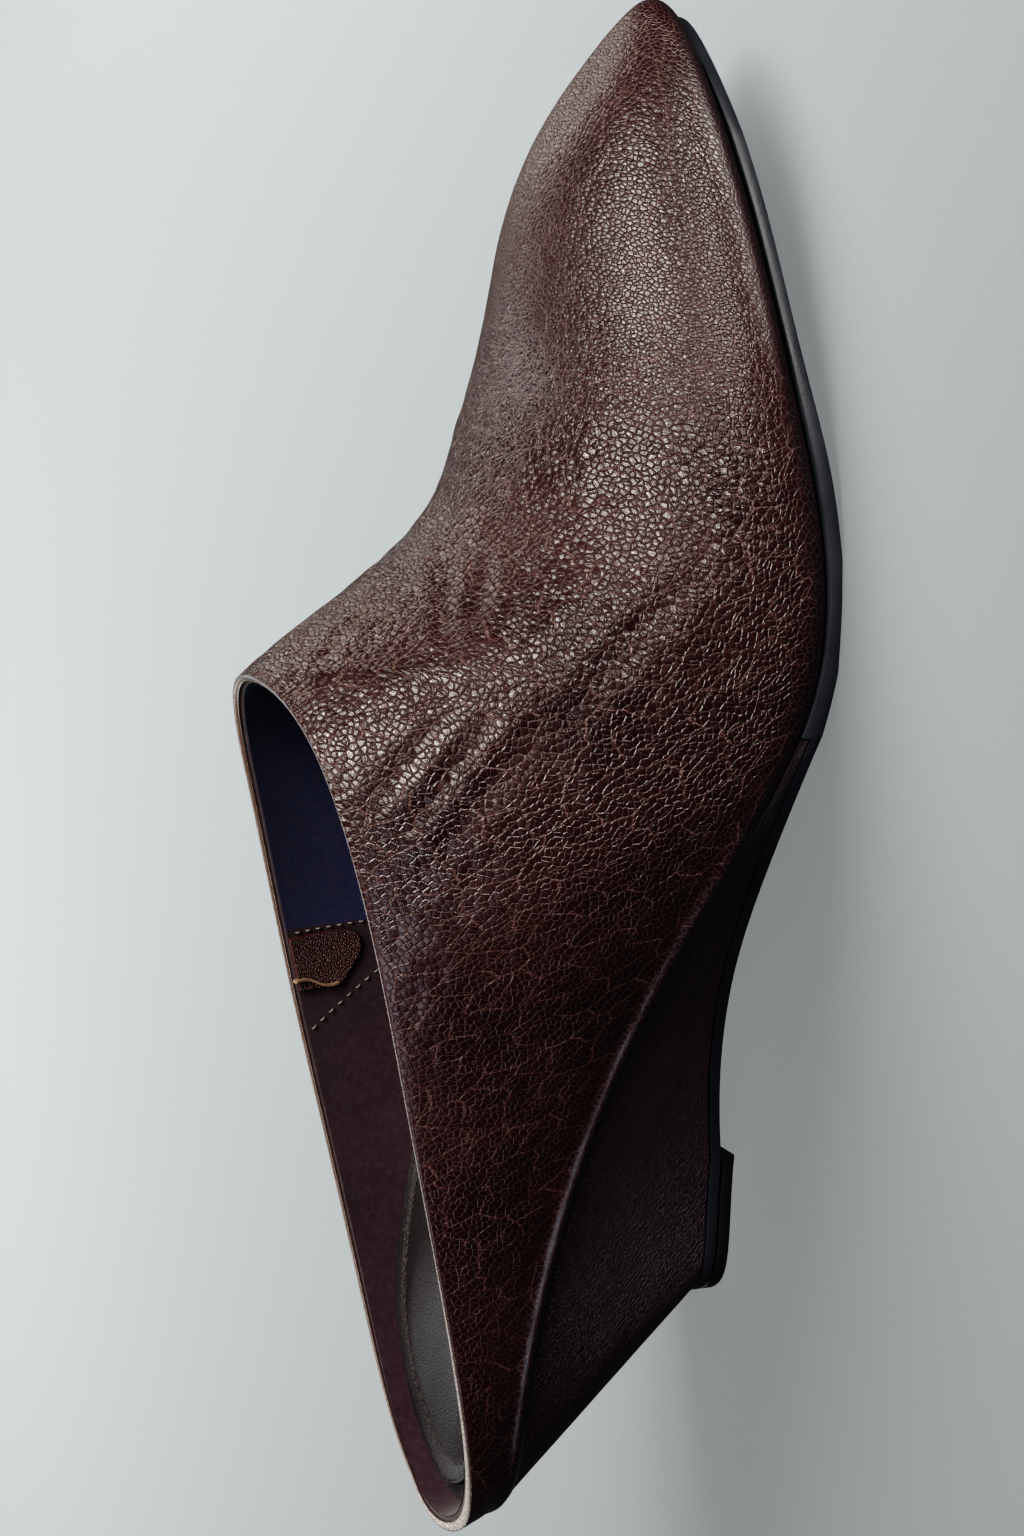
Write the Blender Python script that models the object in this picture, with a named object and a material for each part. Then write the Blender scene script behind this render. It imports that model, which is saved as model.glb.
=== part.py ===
"""Wedge mule, right shoe: upper, insole, wedge, outsole and top piece in one frame.

Lengths are millimetres until the meshes are made. x runs from the heel to the toe, y runs
across the shoe (lateral side negative, medial side positive) and z is up from the floor.
The last is a fan of sections: section s goes from 0 at the back of the heel to 1 at the toe
tip. In each section a wall climbs from the feather line (q = 0) to the ridge (q = 1).
"""
import math

import bmesh
import bpy
import numpy as np

MM = 0.001

GAP = 0.3               # air between neighbouring pieces
WALL = 2.0              # leather thickness of the upper
HEEL_WALL = 2.8         # thickness at the back, where a stiffener lies between two leathers
SOLE = 2.1              # outsole thickness
SOLE_LIP = 0.6          # outsole edge beyond the feather line, forefoot only
TOE_TUCK = 1.8          # less of it at the toe tip, which hangs over the sole
COVER_INSET = 0.4       # top edge of the wedge inside the feather line

HEEL_X = 5.6            # ends of the feather line
TOE_X = 254.5
RIDGE_END_X = 242.0     # front end of the ridge
THROAT_X = 150.0        # front of the collar
THROAT_Z = 82.7
COLLAR_BACK_Z = 47.6    # topline at the back of the heel
TOPLINE_SAG = 1.6       # how far the topline hangs below a straight cut
MEDIAL_DIP = 2.0        # how far the medial topline hangs below the lateral one
RIDGE_SHIFT = 2.8       # ridge towards the medial side
SWELL = 8.7             # how far the walls bulge out above the feather line
HEEL_SWELL = 9.0        # more of it at the back of the heel
FULLNESS = 0.60         # roundness of the sections at the ridge

WEDGE_X = 142.5         # front tip of the wedge
BASE_X = 39.2           # back of the wedge at its base
LIFT_LENGTH = 27.0      # top piece
LIFT_HEIGHT = 2.2
FLAT_START = 153.0      # flat under the ball
FLAT_END = 171.0

HEEL_CUP = 2.2          # hollow of the footbed at the heel

UPPER_BACK_STATIONS = 24
UPPER_FRONT_STATIONS = 26
UPPER_ROWS = 10
WEDGE_STATIONS = 28
WEDGE_ROWS = 4
SOLE_FRONT_STATIONS = 22
INSOLE_STATIONS = 30
INSOLE_SIDE_ROWS = 3
INSOLE_TOP_ROWS = 6

# Feather line in plan: x, lateral half-width, medial half-width.
FEATHER = [
    (HEEL_X, 0.0, 0.0),
    (14.0, 14.8, 14.2),
    (28.5, 19.8, 20.2),
    (56.5, 22.4, 24.6),
    (92.5, 28.0, 27.8),
    (129.0, 37.6, 27.8),
    (154.5, 40.2, 30.2),
    (177.0, 38.8, 34.0),
    (201.0, 32.2, 32.6),
    (221.5, 24.2, 28.4),
    (239.0, 15.6, 18.2),
    (249.0, 8.0, 10.2),
    (TOE_X, -1.2, 1.2),
]

# Height of the feather line: x, z.
SEAT = [
    (HEEL_X, 39.4),
    (28.5, 40.2),
    (56.5, 36.6),
    (92.5, 27.0),
    (123.5, 14.6),
    (144.0, 5.4),
    (158.0, 2.6),
    (172.0, 2.9),
    (201.0, 6.7),
    (226.5, 9.8),
    (243.0, 12.1),
    (TOE_X, 13.0),
]

# Ridge along the top of the foot, carried on above the open collar: x, z.
RIDGE = [
    (HEEL_X, 95.5),
    (41.0, 97.5),
    (82.5, 101.0),
    (120.0, 98.0),
    (THROAT_X, THROAT_Z),
    (167.5, 56.2),
    (185.0, 45.0),
    (201.0, 40.2),
    (221.5, 36.5),
    (233.0, 32.2),
    (RIDGE_END_X, 26.4),
]

# Base of the wedge in plan: distance from its back, lateral half-width, medial half-width.
BASE = [
    (0.0, 0.0, 0.0),
    (1.0, 6.2, 6.2),
    (4.0, 10.6, 10.6),
    (8.0, 12.3, 12.3),
    (27.0, 13.4, 13.6),
    (46.0, 17.2, 16.2),
    (66.0, 24.2, 20.2),
    (86.0, 32.6, 24.8),
    (WEDGE_X - BASE_X, 39.4, 28.6),
]

# Underside of the outsole behind the ball, from the top piece on: x, z.
ARCH = [
    (BASE_X + LIFT_LENGTH, LIFT_HEIGHT + GAP),
    (83.0, 5.0),
    (102.0, 6.4),
    (126.0, 4.6),
    (WEDGE_X, 1.9),
    (148.0, 0.8),
    (FLAT_START, 0.0),
]

# Underside of the outsole ahead of the ball: x, z.
SPRING = [
    (FLAT_END, 0.0),
    (184.0, 1.4),
    (201.0, 4.2),
    (226.5, 7.3),
    (243.0, 9.6),
    (TOE_X, 10.5),
]

# Thickness of the footbed at its edge: x, thickness.
FOOTBED = [
    (HEEL_X, 6.6),
    (30.0, 8.6),
    (60.0, 8.8),
    (90.0, 7.4),
    (120.0, 5.2),
    (160.0, 3.4),
    (215.0, 2.2),
    (TOE_X, 1.6),
]

# Surface of each piece: red, green, blue, roughness.
FINISH = {
    "upper": (0.075, 0.032, 0.026, 0.45),
    "insole": (0.045, 0.036, 0.036, 0.60),
    "wedge": (0.022, 0.014, 0.013, 0.50),
    "outsole": (0.010, 0.009, 0.009, 0.40),
    "top_piece": (0.008, 0.008, 0.008, 0.45),
}


def spline(xs, ys):
    """Natural cubic spline through the points, as a function held level beyond its ends."""
    xs = np.array(xs, dtype=float)
    ys = np.array(ys, dtype=float)
    count = len(xs)
    step = np.diff(xs)
    matrix = np.eye(count)
    right = np.zeros(count)
    for i in range(1, count - 1):
        matrix[i, i - 1:i + 2] = step[i - 1], 2.0 * (step[i - 1] + step[i]), step[i]
        right[i] = 6.0 * ((ys[i + 1] - ys[i]) / step[i] - (ys[i] - ys[i - 1]) / step[i - 1])
    bend = np.linalg.solve(matrix, right)

    def value(x):
        x = min(max(x, xs[0]), xs[-1])
        i = min(int(np.searchsorted(xs, x, side="right")) - 1, count - 2)
        a = xs[i + 1] - x
        b = x - xs[i]
        cubic = (bend[i] * a ** 3 + bend[i + 1] * b ** 3) / (6.0 * step[i])
        left = (ys[i] / step[i] - bend[i] * step[i] / 6.0) * a
        return cubic + left + (ys[i + 1] / step[i] - bend[i + 1] * step[i] / 6.0) * b

    return value


def column(table, index):
    return [row[index] for row in table]


def section_of(x):
    """Section number of a feather point; sections crowd together at both ends."""
    t = min(max((x - HEEL_X) / (TOE_X - HEEL_X), 0.0), 1.0)
    return math.acos(1.0 - 2.0 * t) / math.pi


def feather_x(s):
    return HEEL_X + (TOE_X - HEEL_X) * (1.0 - math.cos(math.pi * s)) / 2.0


SECTIONS = [section_of(x) for x in column(FEATHER, 0)]
LATERAL_WIDTH = spline(SECTIONS, column(FEATHER, 1))
MEDIAL_WIDTH = spline(SECTIONS, column(FEATHER, 2))
BASE_RUN = [math.sqrt(distance) for distance in column(BASE, 0)]
LATERAL_BASE = spline(BASE_RUN, column(BASE, 1))
MEDIAL_BASE = spline(BASE_RUN, column(BASE, 2))
SEAT_Z = spline(column(SEAT, 0), column(SEAT, 1))
RIDGE_Z = spline(column(RIDGE, 0), column(RIDGE, 1))
ARCH_Z = spline(column(ARCH, 0), column(ARCH, 1))
SPRING_Z = spline(column(SPRING, 0), column(SPRING, 1))
FOOTBED_T = spline(column(FOOTBED, 0), column(FOOTBED, 1))


def feather(s, side):
    """Feather point of a section; side is -1 lateral, +1 medial."""
    x = feather_x(s)
    width = LATERAL_WIDTH(s) if side < 0 else MEDIAL_WIDTH(s)
    return np.array([x, side * width, SEAT_Z(x)])


def outward(s, side):
    """Unit vector in plan that points out of the feather line."""
    if s <= 0.0:
        return np.array([-1.0, 0.0, 0.0])
    if s >= 1.0:
        return np.array([1.0, 0.0, 0.0])
    run = feather(min(s + 1e-4, 1.0), side) - feather(max(s - 1e-4, 0.0), side)
    across = np.array([-run[1], run[0], 0.0]) * side
    return across / np.linalg.norm(across)


def ridge_point(s):
    """Ridge point of a section and the ridge's slope there."""
    share = (feather_x(s) - HEEL_X) / (TOE_X - HEEL_X)
    x = HEEL_X + share * (RIDGE_END_X - HEEL_X)
    shift = RIDGE_SHIFT * min((1.0 - share) * 5.0, 1.0)
    y = (MEDIAL_WIDTH(s) - LATERAL_WIDTH(s)) / 2.0 + shift
    slope = (RIDGE_Z(x) - RIDGE_Z(x - 0.5)) / 0.5
    return np.array([x, y, RIDGE_Z(x)]), slope


def wall(s, q, side):
    """Point on the outside of the last."""
    foot = feather(s, side)
    ridge, slope = ridge_point(s)
    rise = ridge[2] - foot[2]
    swell = SWELL * min(max(rise / 40.0, 0.35), 1.0)
    swell += HEEL_SWELL * max(1.0 - foot[0] / 40.0, 0.0) ** 2
    low = foot + outward(s, side) * swell + np.array([0.0, 0.0, rise / 2.0])
    run, across = foot[0] - ridge[0], foot[1] - ridge[1]
    high = ridge + FULLNESS * np.array([run, across, slope * run])
    p = 1.0 - q
    return p ** 3 * foot + 3 * p * p * q * low + 3 * p * q * q * high + q ** 3 * ridge


def topline_z(x, side):
    """Height at which the collar cuts the walls."""
    t = min(max((x - HEEL_X) / (THROAT_X - HEEL_X), 0.0), 1.0)
    sag = TOPLINE_SAG + (MEDIAL_DIP if side > 0 else 0.0)
    return COLLAR_BACK_Z + (THROAT_Z - COLLAR_BACK_Z) * t - 4.0 * sag * t * (1.0 - t)


def climb(s, side, is_above):
    """Smallest q at which the wall point passes a test, found by halving."""
    low, high = 0.0, 1.0
    for _ in range(40):
        middle = (low + high) / 2.0
        if is_above(wall(s, middle, side)):
            high = middle
        else:
            low = middle
    return high


def topline_q(s, side):
    return climb(s, side, lambda point: point[2] > topline_z(point[0], side))


def height_q(s, side, height):
    """q of the wall point that lies a given height above the feather line."""
    level = feather(s, side)[2] + height
    return climb(s, side, lambda point: point[2] > level)


def wall_thickness(x):
    return WALL + (HEEL_WALL - WALL) * min(max((60.0 - x) / 40.0, 0.0), 1.0)


def throat_section():
    share = (THROAT_X - HEEL_X) / (RIDGE_END_X - HEEL_X)
    return section_of(HEEL_X + share * (TOE_X - HEEL_X))


def base_point(s, side):
    """Foot of the wedge's side below the feather point of a section."""
    t = (feather_x(s) - HEEL_X) / (WEDGE_X - HEEL_X)
    distance = (WEDGE_X - BASE_X) * t
    width = LATERAL_BASE if side < 0 else MEDIAL_BASE
    x = BASE_X + distance
    return np.array([x, side * width(math.sqrt(distance)), ARCH_Z(x) + SOLE + GAP])


def wedge_sections():
    last = section_of(WEDGE_X)
    return [last * i / WEDGE_STATIONS for i in range(WEDGE_STATIONS + 1)]


def sole_under_z(x):
    return max(ARCH_Z(x), 0.0) if x < FLAT_END else max(SPRING_Z(x), 0.0)


class Solid:
    """Collects points and faces; points that coincide are shared."""

    def __init__(self, name):
        self.name = name
        self.mesh = bmesh.new()
        self.seen = {}

    def point(self, position):
        key = tuple(round(float(c), 4) for c in position)
        if key not in self.seen:
            self.seen[key] = self.mesh.verts.new([float(c) * MM for c in position])
        return self.seen[key]

    def face(self, *corners):
        loop = []
        for corner in corners:
            if corner not in loop:
                loop.append(corner)
        if len(loop) > 2 and not self.mesh.faces.get(loop):
            self.mesh.faces.new(loop)

    def strip(self, first, second):
        """Quads between two rows of points."""
        for i in range(len(first) - 1):
            self.face(first[i], first[i + 1], second[i + 1], second[i])

    def rings(self, rings):
        """Closed skin over a run of rings of equal length."""
        for first, second in zip(rings, rings[1:]):
            self.strip(first + first[:1], second + second[:1])

    def finish(self, parent):
        bmesh.ops.recalc_face_normals(self.mesh, faces=self.mesh.faces)
        data = bpy.data.meshes.new(self.name)
        self.mesh.to_mesh(data)
        self.mesh.free()
        data.shade_smooth()
        data.set_sharp_from_angle(angle=math.radians(42.0))
        red, green, blue, roughness = FINISH[self.name]
        material = bpy.data.materials.new(self.name)
        material.use_nodes = True
        shader = material.node_tree.nodes["Principled BSDF"]
        shader.inputs["Base Color"].default_value = (red, green, blue, 1.0)
        shader.inputs["Roughness"].default_value = roughness
        data.materials.append(material)
        piece = bpy.data.objects.new(self.name, data)
        bpy.context.collection.objects.link(piece)
        piece.parent = parent
        return piece


def upper_columns():
    """Outside of the upper: for each section, its lateral and its medial column of points."""
    throat = throat_section()
    sections = []
    for i in range(UPPER_BACK_STATIONS):
        sections.append(throat * math.sin(math.pi / 2.0 * i / UPPER_BACK_STATIONS))
    for i in range(UPPER_FRONT_STATIONS + 1):
        sections.append(throat + (1.0 - throat) * i / UPPER_FRONT_STATIONS)
    columns = []
    for s in sections:
        pair = []
        for side in (-1, 1):
            top = topline_q(s, side) if s < throat else 1.0
            pair.append([wall(s, top * j / UPPER_ROWS, side) for j in range(UPPER_ROWS + 1)])
        columns.append(pair)
    return columns


def build_upper(parent):
    """Leather shell: an outer sheet, its offset inside, and a rim that joins the two."""
    solid = Solid("upper")
    columns = [[[solid.point(p) for p in half] for half in pair] for pair in upper_columns()]
    for now, after in zip(columns, columns[1:]):
        for side in (0, 1):
            solid.strip(now[side], after[side])
    mesh = solid.mesh
    bmesh.ops.recalc_face_normals(mesh, faces=mesh.faces)
    mesh.normal_update()
    toe_face = max(mesh.faces, key=lambda face: face.calc_center_median().x)
    if toe_face.normal.x < 0.0:
        bmesh.ops.reverse_faces(mesh, faces=mesh.faces)
        mesh.normal_update()
    feather_points = {half[0] for pair in columns for half in pair}
    sheet_faces = list(mesh.faces)
    rim_edges = [edge for edge in mesh.edges if edge.is_boundary]
    inside = {}
    for vertex in list(mesh.verts):
        normal = vertex.normal.copy()
        if vertex in feather_points:
            normal.z = 0.0
            normal.normalize()
        place = vertex.co - normal * wall_thickness(vertex.co.x / MM) * MM
        if vertex in feather_points:
            place.z = SEAT_Z(place.x / MM) * MM
        inside[vertex] = mesh.verts.new(place)
    for face in sheet_faces:
        mesh.faces.new([inside[v] for v in reversed(face.verts[:])])
    for edge in rim_edges:
        a, b = edge.verts
        mesh.faces.new([a, b, inside[b], inside[a]])
    return solid.finish(parent)


def build_insole(parent):
    """Footbed: fills the bottom of the upper, cupped at the heel."""
    solid = Solid("insole")
    rings = []
    for i in range(INSOLE_STATIONS + 1):
        s = i / INSOLE_STATIONS
        x = feather_x(s)
        edge = FOOTBED_T(x)
        room = wall_thickness(x) + 0.6 + 3.0 * max(0.0, (x - 225.0) / (TOE_X - 225.0))
        sides = []
        for side in (-1, 1):
            rise = []
            for j in range(INSOLE_SIDE_ROWS + 1):
                height = edge * j / INSOLE_SIDE_ROWS
                point = wall(s, height_q(s, side, height), side) - outward(s, side) * room
                point[2] = SEAT_Z(point[0]) + height
                rise.append(point)
            sides.append(rise)
        lateral, medial = sides
        cup = HEEL_CUP * min(max((130.0 - x) / 70.0, 0.0), 1.0)
        bed = []
        for j in range(1, INSOLE_TOP_ROWS):
            t = j / INSOLE_TOP_ROWS
            point = lateral[-1] + (medial[-1] - lateral[-1]) * t
            point[2] -= cup * 4.0 * t * (1.0 - t) * min(s * 8.0, 1.0)
            bed.append(point)
        ring = lateral + bed + medial[::-1]
        rings.append([solid.point(p) for p in ring])
    solid.rings(rings)
    return solid.finish(parent)


def build_wedge(parent):
    """Covered wedge: ruled sides from the feather line down to a narrower base."""
    solid = Solid("wedge")
    rings = []
    for s in wedge_sections():
        halves = []
        for side in (-1, 1):
            top = feather(s, side) - outward(s, side) * COVER_INSET
            top[2] = SEAT_Z(top[0]) - GAP
            foot = base_point(s, side)
            halves.append([top + (foot - top) * j / WEDGE_ROWS for j in range(WEDGE_ROWS + 1)])
        lateral, medial = halves
        rings.append([solid.point(p) for p in lateral + medial[::-1]])
    solid.rings(rings)
    front = rings[-1]
    for j in range(WEDGE_ROWS):
        solid.face(front[j], front[j + 1], front[-2 - j], front[-1 - j])
    return solid.finish(parent)


def sole_outline():
    """Outsole stations from heel to toe: lateral point, medial point, top height."""
    rows = []
    for s in wedge_sections():
        lateral, medial = base_point(s, -1), base_point(s, 1)
        rows.append((lateral, medial, lateral[2] - GAP))
    before_flat = [WEDGE_X + GAP, 145.5, 148.0, 151.0]
    flat = [FLAT_START + 0.5, (FLAT_START + FLAT_END) / 2.0, FLAT_END - 0.5]
    sections = [section_of(x) for x in before_flat + flat]
    last = sections[-1]
    for i in range(1, SOLE_FRONT_STATIONS + 1):
        sections.append(last + (1.0 - last) * i / SOLE_FRONT_STATIONS)
    for s in sections:
        x = feather_x(s)
        lip = SOLE_LIP * min((x - WEDGE_X) / 20.0, 1.0)
        lip -= TOE_TUCK * max((x - 235.0) / (TOE_X - 235.0), 0.0)
        lateral = feather(s, -1) + outward(s, -1) * lip
        medial = feather(s, 1) + outward(s, 1) * lip
        rows.append((lateral, medial, None))
    return rows


def build_outsole(parent):
    """Thin sole: follows the wedge's base, steps up at its tip, then follows the feather line."""
    solid = Solid("outsole")
    rings = []
    for lateral, medial, top in sole_outline():
        ring = []
        for point, order in ((lateral, (1, 0)), (medial, (0, 1))):
            x, y = point[0], point[1]
            high = top if top is not None else SEAT_Z(x) - GAP
            levels = (sole_under_z(x), high)
            ring += [solid.point((x, y, levels[k])) for k in order]
        rings.append(ring)
    solid.rings(rings)
    return solid.finish(parent)


def build_top_piece(parent):
    """Lift under the heel, cut from the same outline as the wedge's base."""
    solid = Solid("top_piece")
    end = BASE_X + LIFT_LENGTH
    share = (end - BASE_X) / (WEDGE_X - BASE_X)
    last = section_of(HEEL_X + share * (WEDGE_X - HEEL_X))
    rings = []
    count = WEDGE_STATIONS // 2
    for i in range(count + 1):
        s = last * i / count
        lateral, medial = base_point(s, -1), base_point(s, 1)
        corners = ((lateral, LIFT_HEIGHT), (lateral, 0.0), (medial, 0.0), (medial, LIFT_HEIGHT))
        rings.append([solid.point((p[0], p[1], z)) for p, z in corners])
    solid.rings(rings)
    solid.face(*rings[-1])
    return solid.finish(parent)


def main():
    for old in list(bpy.data.objects):
        bpy.data.objects.remove(old)
    shoe = bpy.data.objects.new("wedge_mule", None)
    bpy.context.collection.objects.link(shoe)
    builders = (build_upper, build_insole, build_wedge, build_outsole, build_top_piece)
    pieces = [build(shoe) for build in builders]
    corners = np.array([vertex.co[:] for piece in pieces for vertex in piece.data.vertices])
    middle = (corners.min(axis=0) + corners.max(axis=0)) / 2.0
    shoe.location = (-middle[0], -middle[1], 0.0)


main()
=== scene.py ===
"""Looks of the wedge mule: leather upper, lining, insole and sock, wedge cover, sole and lift.

Shapes are worked out in millimetres in the last's own frame (x from heel to toe, lateral side
at negative y, z up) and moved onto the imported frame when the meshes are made. Section s runs
from 0 at the heel to 1 at the toe; q climbs a section's wall from the feather line (0) to the
ridge (1).
"""
import math

import bpy
import numpy as np
from mathutils import Matrix, Vector


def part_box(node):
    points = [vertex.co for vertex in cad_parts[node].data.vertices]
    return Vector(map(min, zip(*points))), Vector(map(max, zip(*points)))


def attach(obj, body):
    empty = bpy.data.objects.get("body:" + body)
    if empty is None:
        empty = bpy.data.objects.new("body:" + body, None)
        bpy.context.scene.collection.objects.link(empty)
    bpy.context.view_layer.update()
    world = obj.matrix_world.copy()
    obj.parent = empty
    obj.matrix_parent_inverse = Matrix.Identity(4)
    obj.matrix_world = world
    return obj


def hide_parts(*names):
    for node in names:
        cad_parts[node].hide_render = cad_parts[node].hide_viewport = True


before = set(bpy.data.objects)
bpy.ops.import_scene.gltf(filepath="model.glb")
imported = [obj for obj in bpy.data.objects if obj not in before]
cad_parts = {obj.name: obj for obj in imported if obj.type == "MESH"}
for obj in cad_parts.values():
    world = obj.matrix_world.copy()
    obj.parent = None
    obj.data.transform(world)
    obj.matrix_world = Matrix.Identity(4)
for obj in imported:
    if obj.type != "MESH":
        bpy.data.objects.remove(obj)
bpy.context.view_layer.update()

MM = 0.001

# Sizes of the last and its pieces, as in the part's source.
GAP = 0.3               # air between neighbouring pieces
WALL = 2.0              # leather and lining of the upper together
HEEL_WALL = 2.8         # the same at the back of the heel
SOLE = 2.1              # outsole thickness
SOLE_LIP = 0.6          # outsole edge beyond the feather line, forefoot only
TOE_TUCK = 1.8          # less of it at the toe tip
COVER_INSET = 0.4       # top edge of the wedge inside the feather line
HEEL_X = 5.6            # ends of the feather line
TOE_X = 254.5
RIDGE_END_X = 242.0     # front end of the ridge
THROAT_X = 150.0        # front of the collar
THROAT_Z = 82.7
COLLAR_BACK_Z = 47.6    # topline at the back of the heel
TOPLINE_SAG = 1.6       # how far the topline hangs below a straight cut
MEDIAL_DIP = 2.0        # how far the medial topline hangs below the lateral one
RIDGE_SHIFT = 2.8       # ridge towards the medial side
SWELL = 8.7             # how far the walls bulge out above the feather line
HEEL_SWELL = 9.0        # more of it at the back of the heel
FULLNESS = 0.60         # roundness of the sections at the ridge
WEDGE_X = 142.5         # front tip of the wedge
BASE_X = 39.2           # back of the wedge at its base
LIFT_LENGTH = 27.0      # top piece
LIFT_HEIGHT = 2.2
FLAT_START = 153.0      # flat under the ball
FLAT_END = 171.0
HEEL_CUP = 2.2          # hollow of the footbed at the heel

# Feather line in plan: x, lateral half-width, medial half-width.
FEATHER = [
    (HEEL_X, 0.0, 0.0),
    (14.0, 14.8, 14.2),
    (28.5, 19.8, 20.2),
    (56.5, 22.4, 24.6),
    (92.5, 28.0, 27.8),
    (129.0, 37.6, 27.8),
    (154.5, 40.2, 30.2),
    (177.0, 38.8, 34.0),
    (201.0, 32.2, 32.6),
    (221.5, 24.2, 28.4),
    (239.0, 15.6, 18.2),
    (249.0, 8.0, 10.2),
    (TOE_X, -1.2, 1.2),
]

# Height of the feather line: x, z.
SEAT = [
    (HEEL_X, 39.4), (28.5, 40.2), (56.5, 36.6), (92.5, 27.0), (123.5, 14.6), (144.0, 5.4),
    (158.0, 2.6), (172.0, 2.9), (201.0, 6.7), (226.5, 9.8), (243.0, 12.1), (TOE_X, 13.0),
]

# Ridge along the top of the foot, carried on above the open collar: x, z.
RIDGE = [
    (HEEL_X, 95.5), (41.0, 97.5), (82.5, 101.0), (120.0, 98.0), (THROAT_X, THROAT_Z), (167.5, 56.2),
    (185.0, 45.0), (201.0, 40.2), (221.5, 36.5), (233.0, 32.2), (RIDGE_END_X, 26.4),
]

# Base of the wedge in plan: distance from its back, lateral half-width, medial half-width.
BASE = [
    (0.0, 0.0, 0.0),
    (1.0, 6.2, 6.2),
    (4.0, 10.6, 10.6),
    (8.0, 12.3, 12.3),
    (27.0, 13.4, 13.6),
    (46.0, 17.2, 16.2),
    (66.0, 24.2, 20.2),
    (86.0, 32.6, 24.8),
    (WEDGE_X - BASE_X, 39.4, 28.6),
]

# Underside of the outsole behind the ball and ahead of it: x, z.
ARCH = [
    (BASE_X + LIFT_LENGTH, LIFT_HEIGHT + GAP), (83.0, 5.0), (102.0, 6.4), (126.0, 4.6),
    (WEDGE_X, 1.9), (148.0, 0.8), (FLAT_START, 0.0),
]
SPRING = [
    (FLAT_END, 0.0), (184.0, 1.4), (201.0, 4.2), (226.5, 7.3), (243.0, 9.6), (TOE_X, 10.5),
]

# Thickness of the footbed at its edge: x, thickness.
FOOTBED = [
    (HEEL_X, 6.6), (30.0, 8.6), (60.0, 8.8), (90.0, 7.4), (120.0, 5.2), (160.0, 3.4),
    (215.0, 2.2), (TOE_X, 1.6),
]

# Fineness of the meshes.
BACK_STATIONS = 190     # sections from the heel to the throat
FRONT_STATIONS = 170    # sections from the throat to the toe
UPPER_ROWS = 92
LOW_ROWS = [0.0, 0.002, 0.006, 0.012, 0.020, 0.030, 0.042]      # more of them near the sole
INNER_ROWS = 14
LINING_ROWS = 44
SOLE_STATIONS = 150
WEDGE_ROWS = 44

# The upper's wall: outer leather and lining as shares of its thickness.
LEATHER_SHARE = 0.62
LINING_START = 0.64
LOWER_TURN = 3.0        # height over which the leather turns under at the sole
LOWER_DEPTH = 0.6       # and how far it turns in
BEAD = 1.1              # plump edge over the wedge, its height above the seam and half-width
BEAD_LEVEL = 1.7
BEAD_WIDTH = 1.35
BEAD_START = (4.0, 22.0)
BEAD_END = (118.0, 140.0)
TOE_SWELLING = 0.75     # soft bulge above the sole at the toe, its height above the sole and half-width
TOE_SWELLING_LEVEL = 2.4
TOE_SWELLING_WIDTH = 2.2
TOE_SWELLING_X = (190.0, 206.0)
RIPPLES = [(0.10, 9.0, 3), (0.06, 4.5, 5)]      # uneven swelling of the leather: height, wavelength, seed
TIGHT_X = (176.0, 204.0)        # where the leather grows tight towards the toe
TIGHT_LOSS = 0.8                # and the share of the ripples that is lost there
FAR = 99.0                      # distance given to points that no edge is near
BATCH = 4000                    # points measured at a time

# Rims of the leather and the lining at the topline: share of the wall's thickness, rise above the cut.
LEATHER_RIM = [(0.05, 0.12), (0.16, 0.25), (0.30, 0.30), (0.40, 0.26), (0.44, 0.16), (0.56, 0.14)]
LINING_RIM = [(0.70, -0.30), (0.82, -0.26), (0.94, -0.36)]

# Grain cells, length, width and slant: coarse ones on the vamp and sides, fine ones on the toe, and
# where one takes over.
COARSE_GRAIN = (0.92, 1.22, 0.50)
FINE_GRAIN = (0.55, 0.80, 0.25)
FINE_GRAIN_X = (182.0, 216.0)
CALM_HEEL_X = (95.0, 170.0)     # shallower grain towards the heel

# Long veins in the flat pattern: spacing across and along them, angle of those on the sides and on the
# toe, and where one takes over from the other.
VEIN_SPACING = (7.5, 3.0)
SIDE_VEINS = 25.0
TOE_VEINS = 66.0
TOE_VEINS_X = (186.0, 204.0)

# Soft folds of the vamp: side, three points (s, q) of the trough, its half-width and depth.
FOLDS = [
    (-1, (0.514, 0.555), (0.541, 0.520), (0.560, 0.510), 1.9, 0.55),
    (-1, (0.498, 0.500), (0.537, 0.458), (0.556, 0.448), 1.8, 0.50),
    (-1, (0.484, 0.450), (0.529, 0.392), (0.552, 0.368), 2.0, 0.45),
    (-1, (0.540, 0.625), (0.556, 0.585), (0.566, 0.555), 1.5, 0.40),
    (-1, (0.618, 0.870), (0.582, 0.630), (0.556, 0.548), 1.7, 0.50),
    (-1, (0.628, 0.812), (0.602, 0.681), (0.579, 0.580), 1.7, 0.50),
    (-1, (0.648, 0.870), (0.630, 0.770), (0.610, 0.620), 1.8, 0.40),
    (-1, (0.606, 0.262), (0.575, 0.318), (0.528, 0.345), 2.4, 0.50),
    (-1, (0.607, 0.540), (0.594, 0.520), (0.575, 0.480), 1.6, 0.35),
    (-1, (0.622, 0.420), (0.600, 0.400), (0.570, 0.395), 2.0, 0.35),
    (-1, (0.600, 0.930), (0.580, 0.860), (0.570, 0.760), 1.6, 0.35),
    (1, (0.514, 0.540), (0.541, 0.505), (0.562, 0.490), 2.0, 0.50),
    (1, (0.496, 0.450), (0.530, 0.405), (0.556, 0.380), 2.0, 0.45),
    (1, (0.620, 0.840), (0.590, 0.640), (0.560, 0.545), 1.8, 0.50),
    (1, (0.640, 0.760), (0.612, 0.600), (0.584, 0.500), 1.8, 0.40),
    (1, (0.610, 0.300), (0.575, 0.330), (0.530, 0.345), 2.4, 0.45),
]
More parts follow.
